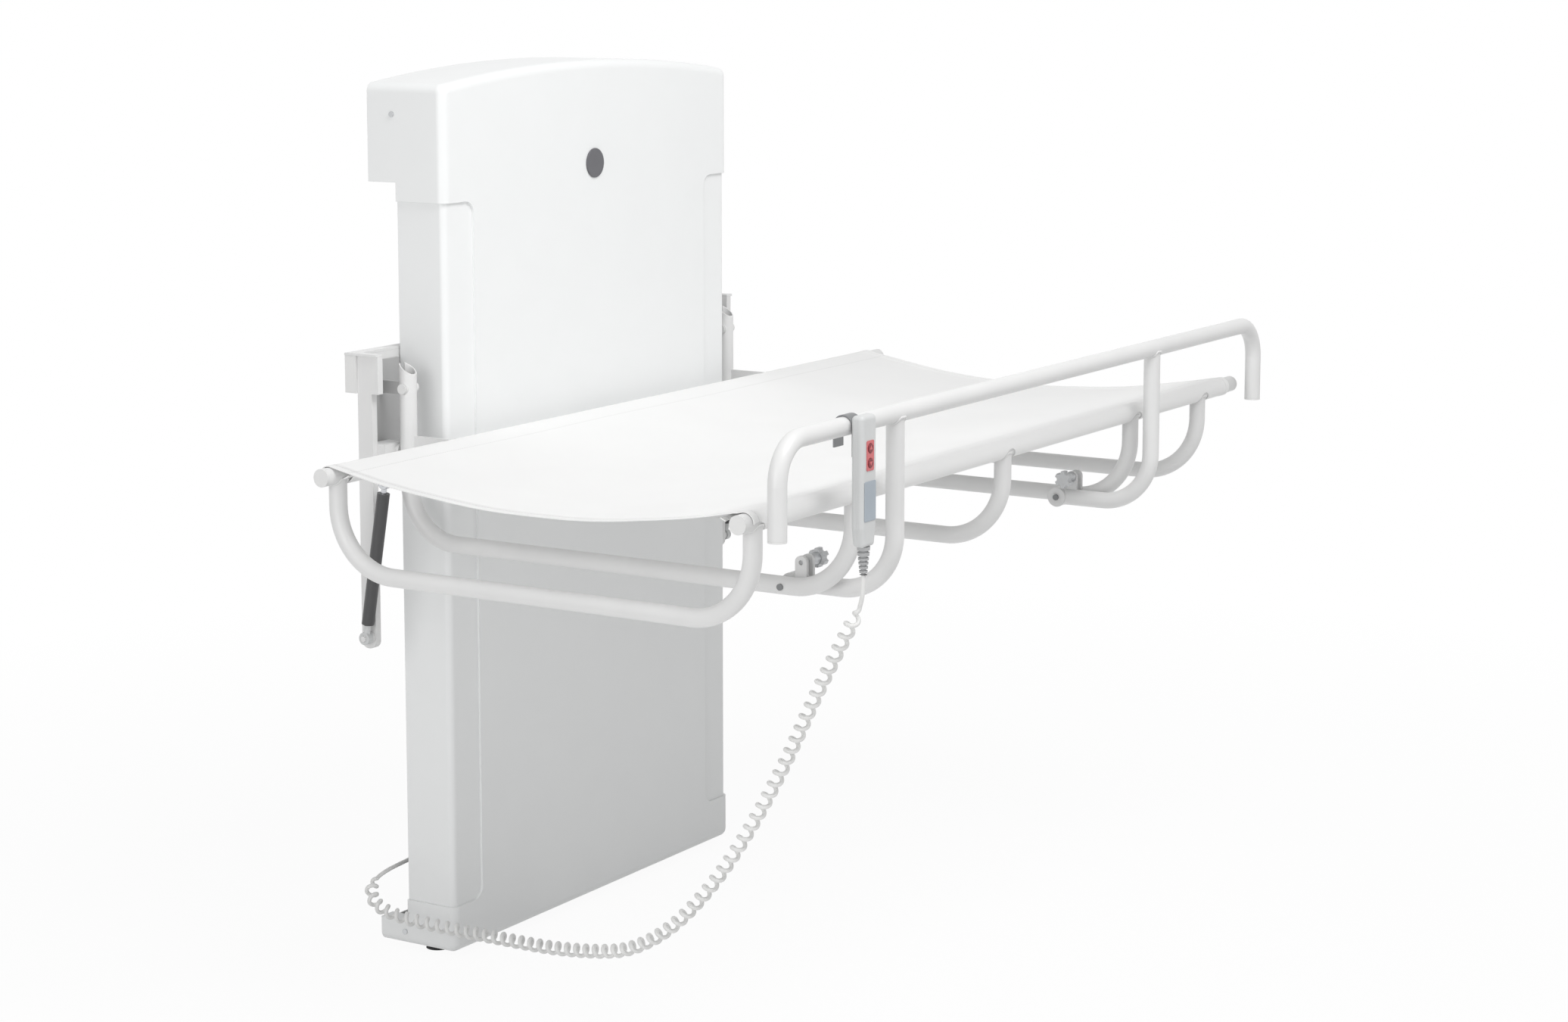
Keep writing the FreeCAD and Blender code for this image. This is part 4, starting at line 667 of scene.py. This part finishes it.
def cloth_material(name, colour):
    """Coated cloth with a fine weave and rows of stitches along hems and sleeves."""
    material, tree, shader = new_material(name, 0.0, 0.0)
    place = add(tree, "TexCoord", {}).outputs["Object"]
    parts = add(tree, "SeparateXYZ", {"Vector": place}).outputs
    low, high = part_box("lying_sheet")
    rows = [stitch_line(tree, parts["X"], parts["Y"], x) for x in (low.x + HEM_STITCH, high.x - HEM_STITCH)]
    for tube, inward in (("front_tube", 1), ("rear_tube", -1)):
        rows.append(stitch_line(tree, parts["Y"], parts["X"], tube_middle(tube)[0] + inward * SEAM_STITCH))
    stitches = rows[0]
    for row in rows[1:]:
        stitches = add(tree, "Math", {0: stitches, 1: row}, operation="MAXIMUM").outputs[0]
    warp = add(tree, "TexWave", {"Vector": place, "Scale": WEAVE_SCALE, "Distortion": WEAVE_WANDER},
               bands_direction="X")
    turn = (math.radians(WEFT_TURN), 0, 0)
    turned = add(tree, "Mapping", {"Vector": place, "Rotation": turn}).outputs["Vector"]
    weft = add(tree, "TexWave", {"Vector": turned, "Scale": WEAVE_SCALE, "Distortion": WEAVE_WANDER},
               bands_direction="Y")
    weave = add(tree, "Math", {0: warp.outputs["Fac"], 1: weft.outputs["Fac"]}, operation="MULTIPLY")
    weave = weave.outputs[0]
    height = add(tree, "Math", {0: stitches, 1: STITCH_HEIGHT, 2: weave}, operation="MULTIPLY_ADD").outputs[0]
    tone = mottled(tree, place, colour, CLOTH_DRIFT, CLOTH_DRIFT_SCALE)
    dark = [part * THREAD_TONE for part in colour]
    thread = add(tree, "MixRGB", {"Fac": stitches, "Color1": tone, "Color2": (*dark, 1)})
    tree.links.new(thread.outputs["Color"], shader.inputs["Base Color"])
    bump = add(tree, "Bump", {"Height": height, "Distance": WEAVE_DEPTH})
    tree.links.new(bump.outputs["Normal"], shader.inputs["Normal"])
    smooth, dull = CLOTH_ROUGHNESS
    rough = add(tree, "MapRange", {"Value": weave, "To Min": smooth, "To Max": dull})
    tree.links.new(rough.outputs["Result"], shader.inputs["Roughness"])
    shader.inputs["Sheen Weight"].default_value = CLOTH_SHEEN
    return material


def all_finishes():
    """One material for each slot of the record."""
    return {
        "white_casing": finish_material(
            "moulded_white", (0.87, 0.88, 0.88), roughness=0.36, grain=420, depth=0.00002, drift=0.005,
            worn=0.95, smudge=0.05),
        "grey_badge": finish_material(
            "badge_grey", (0.12, 0.12, 0.13), roughness=0.42, grain=1800, depth=0.00003, worn=1.5),
        "foot_rubber": finish_material(
            "foot_rubber", (0.035, 0.035, 0.036), roughness=0.75, grain=1400, depth=0.0001, drift=0.2,
            worn=1.6),
        "screw_steel": finish_material(
            "fastener_steel", (0.56, 0.57, 0.58), roughness=0.32, grain=900, depth=0.00002, drift=0.08,
            worn=1.1, metallic=1.0),
        "plate_steel": finish_material(
            "plate_paint", (0.80, 0.80, 0.795), roughness=0.45, grain=800, depth=0.00004),
        "guide_steel": finish_material(
            "ground_steel", (0.60, 0.61, 0.63), roughness=0.16, grain=500, depth=0.000006, drift=0.04,
            worn=1.05, metallic=1.0, stretch=(1, 1, 0.05)),
        "cast_alloy": finish_material(
            "cast_alloy", (0.52, 0.53, 0.54), roughness=0.45, grain=700, depth=0.00006, drift=0.06,
            worn=1.1, metallic=0.9),
        "bearing_plastic": finish_material(
            "bearing_plastic", (0.06, 0.06, 0.065), roughness=0.5, grain=900, depth=0.00003, drift=0.1,
            worn=1.5),
        "drive_grey": finish_material(
            "drive_grey", (0.16, 0.165, 0.17), roughness=0.5, grain=600, depth=0.00008, drift=0.08,
            worn=1.4, metallic=0.4),
        "box_grey": finish_material(
            "box_grey", (0.22, 0.225, 0.23), roughness=0.55, grain=1100, depth=0.00006, drift=0.05,
            worn=1.3),
        "white_steel": finish_material(
            "powder_coat", (0.76, 0.76, 0.757), roughness=0.36, grain=620, depth=0.00006, coat=0.1),
        "white_plugs": finish_material(
            "plug_plastic", (0.78, 0.78, 0.775), roughness=0.5, grain=1300, depth=0.00005),
        "sheet_cloth": cloth_material("coated_cloth", (0.88, 0.88, 0.875)),
        "spring_paint": spring_material("spring_paint", (0.07, 0.07, 0.072), (0.62, 0.63, 0.63)),
        "knob_plastic": finish_material(
            "knob_plastic", (0.68, 0.69, 0.70), roughness=0.55, grain=1500, depth=0.0001, drift=0.08,
            worn=1.25),
        "handset_shell": finish_material(
            "handset_shell", (0.64, 0.65, 0.65), roughness=0.48, grain=2200, depth=0.00005, drift=0.03,
            worn=1.1),
        "relief_rubber": finish_material(
            "relief_rubber", (0.42, 0.425, 0.43), roughness=0.6, grain=1600, depth=0.00006, drift=0.06,
            worn=1.2),
        # Painted shade: the hinge bracket is given a mid grey, darker than the white steel, to stand in for
        # the shade in the gap between the hanger and the arm
        "bracket_grey": finish_material(
            "bracket_grey", (0.44, 0.44, 0.44), roughness=0.45, grain=800, depth=0.00004, drift=0.03,
            worn=1.1),
        "pad_rubber": finish_material(
            "pad_rubber", (0.74, 0.74, 0.735), roughness=0.7, grain=1400, depth=0.00008, drift=0.04,
            worn=1.0),
        "window_red": finish_material(
            "window_red", (0.62, 0.10, 0.11), roughness=0.25, grain=900, depth=0.00001, drift=0.06,
            worn=1.1, coat=0.4),
        "button_red": finish_material(
            "key_red", (0.22, 0.015, 0.025), roughness=0.35, grain=1500, depth=0.00003, drift=0.08,
            worn=1.4),
        "pad_blue": finish_material(
            "pad_blue", (0.40, 0.45, 0.50), roughness=0.5, grain=2000, depth=0.00004, drift=0.04,
            worn=1.1),
        "board_green": finish_material(
            "board_green", (0.03, 0.16, 0.06), roughness=0.45, grain=500, depth=0.00003, drift=0.2,
            worn=1.3),
        "hook_steel": finish_material(
            "hook_steel", (0.24, 0.245, 0.25), roughness=0.38, grain=900, depth=0.00003, drift=0.08,
            worn=1.3, metallic=0.8),
        "cord_white": finish_material(
            "cord_white", (0.80, 0.80, 0.79), roughness=0.42, grain=1600, depth=0.00004, drift=0.04,
            worn=0.95),
    }


def dress(frame, finishes):
    """Gives every solid the finish of its slot."""
    for part in frame["record"]["subparts"]:
        for holder in frame["nodes"][part["node"]].material_slots:
            holder.material = finishes[part["material_slot"]]


# Camera, floor and light

def place_camera():
    data = bpy.data.cameras.new("camera")
    data.sensor_fit = "HORIZONTAL"
    data.sensor_width = SENSOR_MILLIMETRES
    data.lens = FOCAL_PIXELS * SENSOR_MILLIMETRES / PHOTO_WIDTH_PIXELS
    data.shift_y = CAMERA_SHIFT
    data.clip_end = CAMERA_REACH
    camera = new_object("camera", data)
    camera.location = CAMERA_PLACE
    camera.rotation_euler = (math.radians(90 + CAMERA_PITCH), 0, math.radians(-CAMERA_YAW))
    bpy.context.scene.camera = camera


def seen_directly(tree):
    """One for rays from the camera, mirrors and glass."""
    rays = add(tree, "LightPath", {}).outputs
    either = add(tree, "Math", {0: rays["Is Camera Ray"], 1: rays["Is Glossy Ray"]}, operation="MAXIMUM")
    every = add(tree, "Math", {0: either.outputs[0], 1: rays["Is Transmission Ray"]}, operation="MAXIMUM")
    return every.outputs[0]


def white_world():
    world = bpy.data.worlds.new("studio")
    bpy.context.scene.world = world
    world.use_nodes = True
    tree = world.node_tree
    strength = add(tree, "MapRange", {"Value": seen_directly(tree), "To Min": WORLD_LIGHT, "To Max": 1.0})
    tree.links.new(strength.outputs["Result"], tree.nodes["Background"].inputs["Strength"])
    tree.nodes["Background"].inputs["Color"].default_value = (1, 1, 1, 1)


def white_floor():
    """Pale floor that keeps the shadow near the bench and fades to white away from it."""
    half = FLOOR_SIZE / 2
    corners = [(x * half, y * half, -FLOOR_GAP) for x, y in ((-1, -1), (1, -1), (1, 1), (-1, 1))]
    material, tree, shader = new_material("floor_white", 0.0, 0.0)
    shader.inputs["Base Color"].default_value = FLOOR_COLOUR
    shader.inputs["Roughness"].default_value = FLOOR_ROUGHNESS
    glow = add(tree, "Emission", {"Strength": 1.0})
    place = add(tree, "NewGeometry", {}).outputs["Position"]
    away = add(tree, "VectorMath", {0: place, 1: FLOOR_MIDDLE}, operation="DISTANCE").outputs["Value"]
    white = add(tree, "MapRange", {"Value": away, "From Min": FLOOR_FADE[0], "From Max": FLOOR_FADE[1],
                                   "To Min": FLOOR_WHITENESS, "To Max": 1.0}).outputs["Result"]
    share = add(tree, "Math", {0: seen_directly(tree), 1: white}, operation="MULTIPLY")
    mix = add(tree, "MixShader", {0: share.outputs[0], 1: shader.outputs[0], 2: glow.outputs[0]})
    tree.links.new(mix.outputs[0], tree.nodes["Material Output"].inputs["Surface"])
    mesh_piece("floor", corners, [(0, 1, 2, 3)], material)


def area_light(name, place, target, size, watts):
    data = bpy.data.lights.new(name, "AREA")
    data.size = size
    data.energy = watts
    lamp = new_object(name, data)
    lamp.location = place
    lamp.rotation_euler = (Vector(target) - Vector(place)).to_track_quat("-Z", "Y").to_euler()


def main():
    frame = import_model()
    place_camera()
    finishes = all_finishes()
    dress(frame, finishes)
    curly_cord(finishes["cord_white"])
    strain_relief(finishes["relief_rubber"])
    lying_sheet(finishes["sheet_cloth"])
    all_welds(finishes["white_steel"])
    key_mark("button_up", "button_up", True, finishes["window_red"])
    key_mark("button_down", "button_down", False, finishes["window_red"])
    white_world()
    white_floor()
    area_light("key", KEY_PLACE, KEY_TARGET, KEY_SIZE, KEY_WATTS)
    area_light("side", SIDE_PLACE, SIDE_TARGET, SIDE_SIZE, SIDE_WATTS)
    bpy.context.scene.view_settings.view_transform = "Standard"


main()
